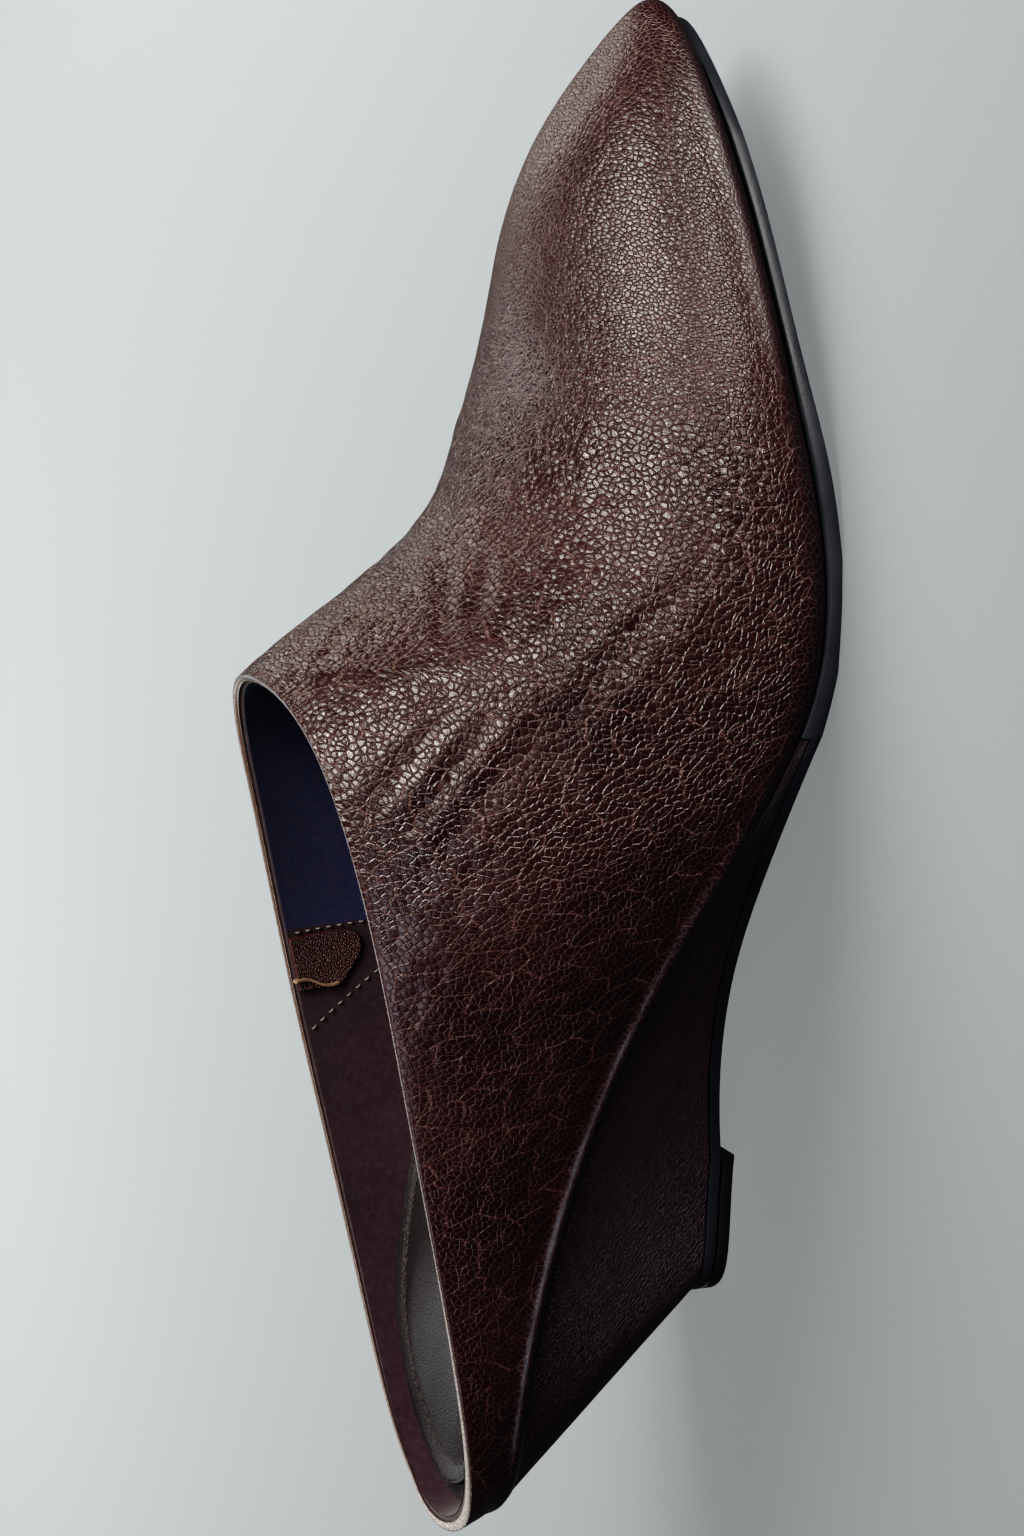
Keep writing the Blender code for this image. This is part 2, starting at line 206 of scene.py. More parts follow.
FOLD_SHOULDER = 0.45    # height of the ridges beside a trough, as a share of its depth

# Flat pattern of the upper: sections behind and ahead of the throat, rows.
PATTERN_BACK = 32
PATTERN_FRONT = 28
PATTERN_ROWS = 10

# Wedge cover and sole.
COVER_SLACK = (0.10, 11.0, 8)   # slack of the cover: height, wavelength, seed
LIP_RUN = 20.0          # length over which the outsole's lip grows ahead of the wedge
TUCK_X = 235.0          # where the outsole starts to draw in at the toe
BEVEL = 0.3             # edges of the outsole and the lift

# Insole and sock.
INSOLE_ROOM = 0.6       # air between the insole and the upper
TOE_ROOM = 3.0          # more of it at the toe tip
NARROW_X = 225.0        # where insole and sock start to draw in at the toe
CUP_X = (60.0, 130.0)   # the footbed's hollow fades out between these
SOCK = 1.5              # sock thickness
SOCK_INSET = 1.0        # sock edge inside the insole's edge along the sides
SOCK_HEEL_INSET = 3.6   # the same at the back of the heel, as far as the next value
SOCK_HEEL_END_X = 40.0
SOCK_TOE_INSET = 2.0    # more of it at the toe tip
SOCK_SEAM = 3.4         # stitched line inside the sock's edge
SOCK_CROWN = 0.6        # padding inside the stitched line
SOCK_PAD_X = (80.0, 130.0)      # the padding fades out between these
SOCK_ROLL = 1.1         # width of its rounded edge
SOCK_GROOVE = 0.42      # depth of the stitched line
SEAM_END_X = 150.0      # the stitched line runs round the heel up to here

# Stitches: pitch, length, thread radius.
LINING_STITCH = (1.9, 1.05, 0.17)
SOCK_STITCH = (2.3, 1.6, 0.22)
STITCH_LIFT = 0.12      # the lining's stitches above its wall

# Details on the medial inner wall, in s and q.
TAB_S = (0.399, 0.425)
TAB_LOW_Q = 0.240
TAB_THICKNESS = 0.7
TAB_GRID = (26, 34)     # columns and rows of its mesh
TAB_CORNER = 0.055      # rounding of its lower corner on the toe side, in q
TAB_RISE = 0.030        # how far its lower edge rises towards the heel, in q
TAB_FLAT = (600.0, 170.0)       # millimetres of flat leather for one s and one q
STRIP_S = (0.4035, 0.3995)      # cut strip over the tab's heel side
STRIP_Q = (0.366, 0.276)
STRIP_CURL = 0.0012     # how far it curls to each side, in s
VAMP_STITCH = ((0.427, 0.388), (0.427, 0.245))
SEAM = ((0.378, 0.312), (0.404, 0.196))
LINING_SPLIT_X = 101.5  # back end of the vamp's navy lining

# Camera, fitted to the photograph: degrees and millimetres in the last's frame.
CAMERA_AZIMUTH = 12.2
CAMERA_ELEVATION = 23.98
CAMERA_ROLL = 93.55
CAMERA_DISTANCE = 514.2
CAMERA_TARGET = (132.46, 0.0, 37.1)
CAMERA_LENS = 73.6
FLOOR_SIZE = 8.0        # metres

# Pieces seen from the outside, which the lamp behind the shoe lights.
OUTSIDE = ("upper_leather", "wedge_cover", "outsole_rubber", "top_piece_rubber")

# Tints of the lamps, and the places that they aim at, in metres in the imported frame.
WARM = (1.0, 0.97, 0.89)
COOL = (0.95, 0.98, 1.0)
PALE_BLUE = (0.84, 0.90, 1.0)
PEACH = (1.0, 0.87, 0.78)
TOE = (0.07, -0.01, 0.03)
HEEL = (-0.06, -0.02, 0.05)
CENTRE = (0.0, 0.0, 0.0)

# Soft rectangular lamps, in metres and watts: name, what it lights, place, aim, width and height, power,
# tint, what casts its shadows.
LAMPS = [
    ("floor_fill", "floor", (-0.20, 0.56, 0.43), (-0.1, 0.30, 0.0), (0.5, 0.5), 2.9, COOL, "floor"),
    ("soft_key", "shoe", (0.23, -0.24, 0.57), TOE, (0.44, 0.44), 5.3, WARM, "all"),
    ("hot_key", "shoe", (0.30, -0.21, 0.42), TOE, (0.14, 0.14), 1.3, WARM, "all"),
    ("throat_key", "shoe", (0.04, -0.36, 0.40), (0.01, -0.02, 0.06), (0.16, 0.14), 0.10, WARM, "all"),
    ("toe_strip", "shoe", (0.28, -0.23, -0.02), (0.11, -0.01, 0.02), (0.16, 0.06), 0.85, WARM, "shoe"),
    ("heel_strip", "shoe", (-0.34, -0.38, 0.28), HEEL, (0.34, 0.16), 0.4, PALE_BLUE, "all"),
    ("far_fill", "shoe", (0.44, 0.80, 0.17), (0.02, 0.0, 0.06), (0.4, 0.14), 1.2, PEACH, "all"),
    ("sock_fill", "shoe", (-0.22, 0.80, 0.42), HEEL, (0.5, 0.3), 1.4, COOL, "all"),
    ("back_fill", "outside", (-0.60, 0.50, 0.30), (0.0, 0.0, 0.04), (0.6, 0.5), 2.4, WARM, "all"),
]

# Lamps of the floor: an even light from above, and a globe whose light falls off across it.
EVEN_LIGHT = 0.4
GLOBE_SPOT = (0.53, 0.20, 0.40)
GLOBE_POWER = 17.0
GLOBE_RADIUS = 0.3
SKY = (0.86, 0.93, 0.94, 1.0)
SKY_STRENGTH = 0.07

# Film-like tone curve: light in, light out.
TONE_CURVE = [(0.02, 0.0055), (0.05, 0.031), (0.12, 0.125), (0.30, 0.34), (0.60, 0.65)]


def spline(xs, ys):
    """Natural cubic spline through the points, as a function of arrays held level beyond its ends."""
    xs = np.array(xs, dtype=float)
    ys = np.array(ys, dtype=float)
    count = len(xs)
    step = np.diff(xs)
    matrix = np.eye(count)
    right = np.zeros(count)
    for i in range(1, count - 1):
        matrix[i, i - 1:i + 2] = step[i - 1], 2.0 * (step[i - 1] + step[i]), step[i]
        right[i] = 6.0 * ((ys[i + 1] - ys[i]) / step[i] - (ys[i] - ys[i - 1]) / step[i - 1])
    bend = np.linalg.solve(matrix, right)

    def value(x):
        x = np.clip(x, xs[0], xs[-1])
        i = np.clip(np.searchsorted(xs, x, side="right") - 1, 0, count - 2)
        a = xs[i + 1] - x
        b = x - xs[i]
        cubic = (bend[i] * a ** 3 + bend[i + 1] * b ** 3) / (6.0 * step[i])
        left = (ys[i] / step[i] - bend[i] * step[i] / 6.0) * a
        return cubic + left + (ys[i + 1] / step[i] - bend[i + 1] * step[i] / 6.0) * b

    return value


def column(table, index):
    return [row[index] for row in table]


def through(table):
    """Spline through a table of two columns."""
    return spline(column(table, 0), column(table, 1))


def smooth(value, low, high):
    """Soft step from 0 at low to 1 at high."""
    t = np.clip((value - low) / (high - low), 0.0, 1.0)
    return t * t * (3.0 - 2.0 * t)


def unit(vectors):
    return vectors / np.maximum(np.linalg.norm(vectors, axis=-1, keepdims=True), 1e-9)


def nearest(points, line):
    """Distance of each point from the closest point of a line."""
    found = np.empty(len(points))
    for first in range(0, len(points), BATCH):
        some = slice(first, first + BATCH)
        found[some] = np.linalg.norm(points[some][:, None] - line[None], axis=2).min(axis=1)
    return found


def read_off(at, run, rows):
    """Values at a place along a run of rows."""
    return np.array([np.interp(at, run, values) for values in rows.T])


def quad_corners(grid):
    """Corners of the quads of a grid, as four smaller grids."""
    return [grid[:-1, :-1], grid[1:, :-1], grid[1:, 1:], grid[:-1, 1:]]


def border_of(grid):
    """The numbers round a grid, from its first corner back to it."""
    return np.concatenate([grid[:, 0], grid[-1, 1:], grid[-2::-1, -1], grid[0, -2::-1]])


def section_of(x):
    """Section number of a feather point; sections crowd together at both ends."""
    t = np.clip((np.asarray(x, dtype=float) - HEEL_X) / (TOE_X - HEEL_X), 0.0, 1.0)
    return np.arccos(1.0 - 2.0 * t) / math.pi


def feather_x(s):
    return HEEL_X + (TOE_X - HEEL_X) * (1.0 - np.cos(math.pi * s)) / 2.0


SECTION_MARKS = section_of(column(FEATHER, 0))
FEATHER_WIDTH = {
    -1: spline(SECTION_MARKS, column(FEATHER, 1)),
    1: spline(SECTION_MARKS, column(FEATHER, 2)),
}
BASE_RUN = np.sqrt(column(BASE, 0))
BASE_WIDTH = {-1: spline(BASE_RUN, column(BASE, 1)), 1: spline(BASE_RUN, column(BASE, 2))}
SEAT_Z, RIDGE_Z, ARCH_Z, SPRING_Z = through(SEAT), through(RIDGE), through(ARCH), through(SPRING)
FOOTBED_T = through(FOOTBED)

# Where the last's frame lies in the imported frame, read off the top piece's front and lateral edges.
LIFT_LOW, LIFT_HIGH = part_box("top_piece")
SHIFT = np.array([
    LIFT_HIGH.x / MM - BASE_X - LIFT_LENGTH,
    LIFT_LOW.y / MM + float(BASE_WIDTH[-1](math.sqrt(LIFT_LENGTH))),
    0.0,
])


def feather(s, side):
    """Feather point of a section; side is -1 lateral, +1 medial."""
    s = np.asarray(s, dtype=float)
    x = feather_x(s)
    return np.stack([x, side * FEATHER_WIDTH[side](s), SEAT_Z(x)], axis=-1)


def outward(s, side):
    """Unit vector in plan that points out of the feather line."""
    s = np.asarray(s, dtype=float)
    run = feather(np.clip(s + 1e-4, 0.0, 1.0), side) - feather(np.clip(s - 1e-4, 0.0, 1.0), side)
    across = unit(np.stack([-run[..., 1], run[..., 0], np.zeros_like(s)], axis=-1) * side)
    across = np.where((s <= 0.0)[..., None], np.array([-1.0, 0.0, 0.0]), across)
    return np.where((s >= 1.0)[..., None], np.array([1.0, 0.0, 0.0]), across)


def ridge_point(s):
    """Ridge point of a section and the ridge's slope there."""
    share = (feather_x(s) - HEEL_X) / (TOE_X - HEEL_X)
    x = HEEL_X + share * (RIDGE_END_X - HEEL_X)
    shift = RIDGE_SHIFT * np.minimum((1.0 - share) * 5.0, 1.0)
    y = (FEATHER_WIDTH[1](s) - FEATHER_WIDTH[-1](s)) / 2.0 + shift
    slope = (RIDGE_Z(x) - RIDGE_Z(x - 0.5)) / 0.5
    return np.stack([x, y, RIDGE_Z(x)], axis=-1), slope


def wall(s, q, side):
    """Points on the outside of the last."""
    s, q = np.broadcast_arrays(np.asarray(s, dtype=float), np.asarray(q, dtype=float))
    foot = feather(s, side)
    ridge, slope = ridge_point(s)
    rise = ridge[..., 2] - foot[..., 2]
    swell = SWELL * np.clip(rise / 40.0, 0.35, 1.0)
    swell = swell + HEEL_SWELL * np.maximum(1.0 - foot[..., 0] / 40.0, 0.0) ** 2
    low = foot + outward(s, side) * swell[..., None]
    low[..., 2] += rise / 2.0
    run, across = foot[..., 0] - ridge[..., 0], foot[..., 1] - ridge[..., 1]
    high = ridge + FULLNESS * np.stack([run, across, slope * run], axis=-1)
    q = q[..., None]
    p = 1.0 - q
    return p ** 3 * foot + 3 * p * p * q * low + 3 * p * q * q * high + q ** 3 * ridge


def topline_z(x, side):
    """Height at which the collar cuts the walls."""
    t = np.clip((x - HEEL_X) / (THROAT_X - HEEL_X), 0.0, 1.0)
    sag = TOPLINE_SAG + (MEDIAL_DIP if side > 0 else 0.0)
    return COLLAR_BACK_Z + (THROAT_Z - COLLAR_BACK_Z) * t - 4.0 * sag * t * (1.0 - t)


def climb(s, side, level):
    """Smallest q at which the wall rises above a level, found by halving; level takes points."""
    low, high = np.zeros_like(s), np.ones_like(s)
    for _ in range(40):
        middle = (low + high) / 2.0
        points = wall(s, middle, side)
        above = points[..., 2] > level(points)
        high = np.where(above, middle, high)
        low = np.where(above, low, middle)
    return high


def throat_section():
    share = (THROAT_X - HEEL_X) / (RIDGE_END_X - HEEL_X)
    return float(section_of(HEEL_X + share * (TOE_X - HEEL_X)))


THROAT = throat_section()


def top_q(s, side):
    """q of the upper's top edge: the topline behind the throat, the ridge ahead of it."""
    topline = climb(s, side, lambda points: topline_z(points[..., 0], side))
    return np.where(s < THROAT, topline, 1.0)


def wall_thickness(x):
    return WALL + (HEEL_WALL - WALL) * np.clip((60.0 - x) / 40.0, 0.0, 1.0)


def even_sections(first, last, count):
    """Sections at equal steps along the feather line."""
    fine = np.linspace(first, last, 1500)
    run = np.zeros_like(fine)
    for side in (-1, 1):
        steps = np.linalg.norm(np.diff(feather(fine, side), axis=0), axis=1)
        run[1:] += np.cumsum(steps) / 2.0
    return np.interp(np.linspace(0.0, run[-1], count + 1), run, fine)


def inside_wall(s, q, side, lift):
    """Points on the inner face of the upper, raised by lift towards the foot, and their normals."""
    s, q = np.asarray(s, dtype=float), np.asarray(q, dtype=float)
    along = wall(s + 1e-3, q, side) - wall(s - 1e-3, q, side)
    up = wall(s, q + 1e-3, side) - wall(s, q - 1e-3, side)
    normal = unit(np.cross(along, up)) * side
    points = wall(s, q, side)
    return points + normal * (wall_thickness(points[..., 0]) + lift)[..., None], normal


class Mesh:
    """Collects grids of points and the faces between them, then makes one Blender piece."""

    def __init__(self, name):
        self.name = name
        self.points = np.zeros((0, 3))
        self.faces = []
        self.charts = []
        self.values = {}

    def add(self, grid):
        """Adds points and returns their numbers in the same layout."""
        flat = grid.reshape(-1, 3)
        numbers = np.arange(len(flat)).reshape(grid.shape[:-1]) + len(self.points)
        self.points = np.concatenate([self.points, flat])
        return numbers

    def skin(self, numbers, flip=False, chart=None):
        """Quads over a grid of point numbers; chart holds the grid laid flat, in millimetres."""
        if chart is None:
            chart = np.zeros(numbers.shape + (2,))
        for i in range(numbers.shape[0] - 1):
            for j in range(numbers.shape[1] - 1):
                corners = [(i, j), (i + 1, j), (i + 1, j + 1), (i, j + 1)]
                if flip:
                    corners.reverse()
                loop = []
                flow = []
                for corner in corners:
                    if numbers[corner] not in loop:
                        loop.append(int(numbers[corner]))
                        flow.append(chart[corner])
                if len(loop) > 2:
                    self.faces.append(loop)
                    self.charts.append(flow)

    def cap(self, numbers):
        """One face over a loop of points."""
        self.faces.append([int(n) for n in numbers])
        self.charts.append([(0.0, 0.0)] * len(numbers))

    def wrap(self, numbers):
        """Quads over a grid whose rows close on themselves."""
        self.skin(np.concatenate([numbers, numbers[:, :1]], axis=1))

    def tube(self, rings):
        """Closed tube through rings of points, with a face over each end."""
        numbers = self.add(rings)
        self.wrap(numbers)
        self.cap(numbers[0])
        self.cap(numbers[-1][::-1])

    def value(self, name, numbers, amounts):
        """Sets a named number on some of the points."""
        known = self.values.get(name, np.zeros(0))
        grown = np.zeros(len(self.points))
        grown[:len(known)] = known
        grown[numbers.ravel()] = np.broadcast_to(amounts, numbers.shape).ravel()
        self.values[name] = grown

    def make(self, material, slot, replaces=None, sharp=50.0):
        used = np.unique(np.concatenate([np.array(face) for face in self.faces]))
        place = np.full(len(self.points), -1)
        place[used] = np.arange(len(used))
        faces = [[int(place[n]) for n in face] for face in self.faces]
        data = bpy.data.meshes.new(self.name)
        data.from_pydata(((self.points[used] + SHIFT) * MM).tolist(), [], faces)
        layer = data.uv_layers.new(name="flat")
        spots = [point for chart in self.charts for point in chart]
        layer.data.foreach_set("uv", np.array(spots, dtype=np.float32).ravel())
        for name, amounts in self.values.items():
            grown = np.zeros(len(self.points))
            grown[:len(amounts)] = amounts
            attribute = data.attributes.new(name, "FLOAT", "POINT")
            attribute.data.foreach_set("value", grown[used].astype(np.float32))
        data.shade_smooth()
        data.set_sharp_from_angle(angle=math.radians(sharp))
        data.materials.append(material)
        piece = bpy.data.objects.new(self.name, data)
        bpy.context.scene.collection.objects.link(piece)
        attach(piece, "root")
        if replaces:
            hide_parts(replaces)
        return piece


class Finish:
    """A procedural material; its methods add nodes and return their output sockets."""

    def __init__(self, name):
        self.data = bpy.data.materials.new(name)
        self.data.use_nodes = True
        self.tree = self.data.node_tree
        self.shader = self.tree.nodes["Principled BSDF"]

    def node(self, kind, inputs, output=0, **settings):
        made = self.tree.nodes.new(kind)
        for key, value in settings.items():
            setattr(made, key, value)
        for key, value in inputs.items():
            self.feed(made.inputs[key], value)
        return made.outputs[output]

    def feed(self, socket, value):
        if isinstance(value, bpy.types.NodeSocket):
            self.tree.links.new(value, socket)
        else:
            socket.default_value = value

    def set(self, **inputs):
        """Sets sockets of the surface shader; underscores stand for spaces."""
        for key, value in inputs.items():
            self.feed(self.shader.inputs[key.replace("_", " ")], value)

    def math(self, operation, a, b=0.0):
        return self.node("ShaderNodeMath", {0: a, 1: b}, operation=operation)

    def vector_math(self, operation, *inputs, output=0):
        return self.node("ShaderNodeVectorMath", dict(enumerate(inputs)), output, operation=operation)

    def mix(self, share, first, second):
        """Number between two numbers."""
        return self.node("ShaderNodeMix", {0: share, 2: first, 3: second})

    def step(self, value, low, high, start=0.0, end=1.0):
        """Soft step of a value, from start at low to end at high."""
        inputs = {"Value": value, "From Min": low, "From Max": high, "To Min": start, "To Max": end}
        return self.node("ShaderNodeMapRange", inputs, interpolation_type="SMOOTHSTEP")

    def blend(self, share, first, second):
        """Colour between two colours."""
        return self.node("ShaderNodeMix", {0: share, 6: first, 7: second}, output=2, data_type="RGBA")

    def flat(self, length, width):
        """Flat coordinates in units of a length and a width in millimetres."""
        uv = self.node("ShaderNodeUVMap", {}, uv_map="flat")
        return self.vector_math("MULTIPLY", uv, (1.0 / length, 1.0 / width, 1.0))

    def place(self, scale):
        """Position on the shoe, scaled."""
        spot = self.node("ShaderNodeTexCoord", {}, output="Object")
        return self.node("ShaderNodeVectorMath", {0: spot, "Scale": scale}, operation="SCALE")

    def number(self, name):
        return self.node("ShaderNodeAttribute", {}, output="Fac", attribute_name=name)

    def noise(self, vector, scale, detail=2.0, output="Fac"):
        inputs = {"Vector": vector, "Scale": scale, "Detail": detail}
        return self.node("ShaderNodeTexNoise", inputs, output=output)

    def warped(self, vector, scale, amount):
        """Coordinates pushed about by soft noise."""
        colour = self.noise(vector, scale, output="Color")
        centred = self.vector_math("SUBTRACT", colour, (0.5, 0.5, 0.5))
        return self.vector_math("MULTIPLY_ADD", centred, (amount, amount, amount), vector)

    def cells(self, vector, scale, feature="DISTANCE_TO_EDGE"):
        """Distance to the nearest edge between grain cells, or with F1 to the cell's middle."""
        inputs = {"Vector": vector, "Scale": scale, "Randomness": 0.95}
        settings = {"voronoi_dimensions": "2D", "feature": feature}
        return self.node("ShaderNodeTexVoronoi", inputs, output="Distance", **settings)

    def veins(self, spot, angle):
        """Network of long veins at an angle in the flat pattern: 0 in a vein, 1 beside it."""
        turn = {"Vector": spot, "Angle": math.radians(angle)}
        turned = self.node("ShaderNodeVectorRotate", turn, rotation_type="Z_AXIS", invert=True)
        across, along = VEIN_SPACING
        stretched = self.vector_math("MULTIPLY", turned, (1.0 / across, 1.0 / along, 1.0))
        return self.step(self.cells(self.warped(stretched, 1.2, 0.35), 1.0), 0.0, 0.04)

    def pebbles(self, length, width, slant):
        """Flat-topped cells, each tilted its own way: relief, and 0 in the cracks to 1 on the cells."""
        spot = self.warped(self.flat(length, width), 0.6, 0.5)
        reach = self.cells(spot, 1.0, "F1")
        middle, chance = reach.node.outputs["Position"], reach.node.outputs["Color"]
        beside = self.vector_math("SUBTRACT", spot, middle)
        lean = self.vector_math("MULTIPLY_ADD", chance, (2.0, 2.0, 0.0), (-1.0, -1.0, 0.0))
        tilt = self.vector_math("DOT_PRODUCT", beside, lean, output="Value")
        crack = self.step(self.cells(spot, 1.0), 0.0, 0.17)
        dome = self.step(reach, 0.0, 0.8, 1.0, 0.0)
        crumb = self.step(self.cells(spot, 2.1), 0.0, 0.22)
        return self.pile((dome, 0.30), (crack, 0.70), (tilt, slant), (crumb, 0.08)), crack

    def along(self, marks, start=0.0, end=1.0):
        """Soft step from the heel towards the toe, between two marks in the last's millimetres."""
        x = self.node("ShaderNodeSeparateXYZ", {0: self.place(1.0)}, output="X")
        return self.step(x, *((mark + SHIFT[0]) * MM for mark in marks), start, end)

    def speckle(self, scale, detail=3.0):
        """Noise fixed to the shoe."""
        return self.noise(self.place(1.0), scale, detail)

    def pile(self, *layers):
        """Relief from layers, each with its share."""
        height = 0.0
        for layer, share in layers:
            inputs = {0: layer, 1: share, 2: height}
            height = self.node("ShaderNodeMath", inputs, operation="MULTIPLY_ADD")
        return height

    def product(self, *parts):
        total = parts[0]
        for part in parts[1:]:
            total = self.math("MULTIPLY", total, part)
        return total

    def bump(self, height, depth):
        """Surface relief; depth is the height of one unit in metres."""
        normal = self.node("ShaderNodeBump", {"Height": height, "Strength": 1.0, "Distance": depth})
        self.set(Normal=normal)


def colour(red, green, blue):
    return (red, green, blue, 1.0)


def leather_finish():
    """Tumbled leather of the upper: flat-topped grain cells, long veins, smooth rim and raw edge; cracks and
    veins partly painted highlight, lower edge painted shade.
    """
    made = Finish("tumbled_leather")
    fine = made.along(FINE_GRAIN_X)
    toe = made.along(TOE_VEINS_X)
    heel = made.along(CALM_HEEL_X, 1.0, 0.0)
    edge, foot, rim = (made.number(name) for name in ("edge", "foot", "rim"))
    coarse_height, coarse_crack = made.pebbles(*COARSE_GRAIN)
    fine_height, fine_crack = made.pebbles(*FINE_GRAIN)
    pebbles = made.mix(fine, coarse_height, fine_height)
    crack = made.mix(fine, coarse_crack, fine_crack)
    spot = made.flat(1.0, 1.0)
    mirrored = made.vector_math("ABSOLUTE", spot)
    mirrored = made.node("ShaderNodeCombineXYZ", {
        0: made.node("ShaderNodeSeparateXYZ", {0: spot}, output="X"),
        1: made.node("ShaderNodeSeparateXYZ", {0: mirrored}, output="Y"),
    })
    vein = made.mix(toe, made.veins(mirrored, SIDE_VEINS), made.veins(spot, TOE_VEINS))
    broken = made.step(made.noise(spot, 0.16), 0.40, 0.62, 0.75, 0.0)
    for veil in (broken, made.step(fine, 0.2, 0.9, 0.0, 0.7), made.math("MULTIPLY", heel, 0.45)):
        vein = made.math("MAXIMUM", vein, veil)
    calm = made.product(
        made.step(edge, 0.3, 1.6, 0.25, 1.0),
        made.step(fine, 0.0, 1.0, 1.0, 0.70),
        made.step(foot, 2.5, 8.0, 0.08, 1.0),
        made.step(heel, 0.0, 1.0, 1.0, 0.30),
    )
    height = made.pile((pebbles, 1.0), (vein, 0.60), (made.speckle(2600.0), 0.08))
    made.bump(made.math("MULTIPLY", height, calm), 0.00028)

    mottle = made.speckle(38.0)
    dark, light = colour(0.0130, 0.0028, 0.0042), colour(0.0255, 0.0068, 0.0074)
    body = made.blend(made.step(mottle, 0.3, 0.7), dark, light)
    # Paler colour in the cracks, less of it towards the heel: partly the grain's own paler crack lines,
    # partly painted highlight of cell edges catching the light.
    shown = made.math("MAXIMUM", crack, made.math("MULTIPLY", heel, 0.55))
    body = made.blend(shown, colour(0.034, 0.0135, 0.0130), body)
    # Paler colour along the long veins: partly the veins' own colour, partly painted highlight of their
    # edges catching the light.
    body = made.blend(vein, colour(0.095, 0.045, 0.040), body)
    # Darker, cooler colour over the lowest few millimetres: painted shade where the leather turns under
    # above the wedge.
    body = made.blend(made.step(foot, 1.0, 5.5), colour(0.0110, 0.0052, 0.0070), body)
    body = made.blend(made.step(edge, 0.2, 1.1), colour(0.030, 0.0105, 0.0100), body)
    raw = made.blend(made.speckle(1500.0, 2.0), colour(0.085, 0.042, 0.030), colour(0.20, 0.125, 0.088))
    body = made.blend(made.step(rim, 0.30, 0.38), body, raw)
    body = made.blend(made.step(rim, 0.40, 0.46), body, colour(0.040, 0.015, 0.012))
    valley = made.math("MULTIPLY", crack, vein)
    cloud = made.step(mottle, 0.2, 0.8, -0.04, 0.06)
    shine = made.step(valley, 0.0, 0.5, 0.70, 0.30)
    gloss = made.pile((shine, 1.0), (cloud, 1.0), (heel, -0.04), (fine, 0.02))
    made.set(Base_Color=body, Roughness=gloss, Specular_IOR_Level=0.78)
    return made.data


def cover_finish(name, dark, light):
    """Finer leather, stretched and wrinkled across the stretch."""
    made = Finish(name)
    grain = made.warped(made.flat(0.85, 0.65), 0.5, 0.7)
    dome = made.step(made.cells(grain, 1.0, "F1"), 0.0, 0.8, 1.0, 0.0)
    crack = made.step(made.cells(grain, 1.0), 0.0, 0.2)
    wrinkle = made.noise(made.flat(1.1, 9.0), 1.0, 3.0)
    made.bump(made.pile((dome, 0.5), (crack, 0.3), (wrinkle, 0.9)), 0.00036)
    mottle = made.speckle(45.0)
    made.set(Base_Color=made.blend(crack, light, made.blend(mottle, dark, light)))
    made.set(Roughness=made.step(mottle, 0.2, 0.8, 0.36, 0.48))
    made.set(Specular_IOR_Level=0.5)
    return made.data


def lining_finish():
    """Suede lining: navy in the vamp, brown-purple behind its seam, with a soft nap."""
    made = Finish("suede_lining")
    front = made.along((LINING_SPLIT_X - 0.3, LINING_SPLIT_X + 0.3))
    nap = made.speckle(900.0, 4.0)
    cloud = made.speckle(90.0)
    brown = made.blend(cloud, colour(0.020, 0.0095, 0.0145), colour(0.039, 0.0200, 0.0285))
    navy = made.blend(cloud, colour(0.0115, 0.0145, 0.050), colour(0.021, 0.025, 0.075))
    body = made.blend(front, brown, navy)
    body = made.blend(made.step(made.number("rim"), 0.94, 0.99), colour(0.020, 0.0085, 0.0095), body)
    made.set(Base_Color=made.blend(made.step(nap, 0.35, 0.75, 0.0, 0.35), body, colour(0.055, 0.040, 0.046)))
    made.set(Roughness=0.93, Specular_IOR_Level=0.2, Sheen_Weight=0.25, Sheen_Roughness=0.5)
    made.bump(nap, 0.00012)
    return made.data


def sock_finish(name, dark, light, grain_size):
    """Leather of the sock and of the layer below it."""
    made = Finish(name)
    spot = made.place(1.0 / (grain_size * MM))
    warped = made.warped(spot, 0.6, 0.8)
    inputs = {"Vector": warped, "Scale": 1.0}
    cell = made.node("ShaderNodeTexVoronoi", inputs, output="Distance", feature="DISTANCE_TO_EDGE")
    plump = made.step(cell, 0.0, 0.22)
    creases = made.noise(made.flat(2.0, 16.0), 1.0, 3.0)
    made.bump(made.pile((plump, 0.4), (creases, 0.8)), 0.00012)
    mottle = made.speckle(60.0)
    made.set(Base_Color=made.blend(mottle, dark, light))
    made.set(Roughness=made.step(mottle, 0.2, 0.8, 0.46, 0.60))
    return made.data


def rubber_finish(name, dark, light, roughness):
    """Moulded sole rubber with a fine satin tooth."""
    made = Finish(name)
    tooth = made.speckle(1800.0)
    rub = made.speckle(130.0, 4.0)
    made.set(Base_Color=made.blend(rub, dark, light))
    made.set(Roughness=made.step(rub, 0.25, 0.75, roughness - 0.06, roughness + 0.08))
    made.set(Specular_IOR_Level=0.3)
    made.bump(tooth, 0.00004)
    return made.data


def thread_finish(name, dark, light):
    """Twisted sewing thread."""
    made = Finish(name)
    twist = made.speckle(2500.0, 2.0)
    made.set(Base_Color=made.blend(twist, dark, light), Roughness=0.75)
    made.bump(twist, 0.00006)
    return made.data


def raw_edge_finish():
    """Undyed cut edge of leather, fibrous."""
    made = Finish("raw_edge")
    fibres = made.speckle(1600.0)
    made.set(Base_Color=made.blend(fibres, colour(0.15, 0.080, 0.048), colour(0.36, 0.23, 0.145)))
    made.set(Roughness=0.85)
    made.bump(fibres, 0.00010)
    return made.data


def sides_numbers(mesh, grids, throat):
    """Adds both sides' grids as one welded sheet: they share the heel, toe and ridge points."""
    lateral = mesh.add(grids[-1])
    medial = mesh.add(grids[1])
    medial[0] = lateral[0]
    medial[-1] = lateral[-1]
    medial[throat:, -1] = lateral[throat:, -1]
    return {-1: lateral, 1: medial}


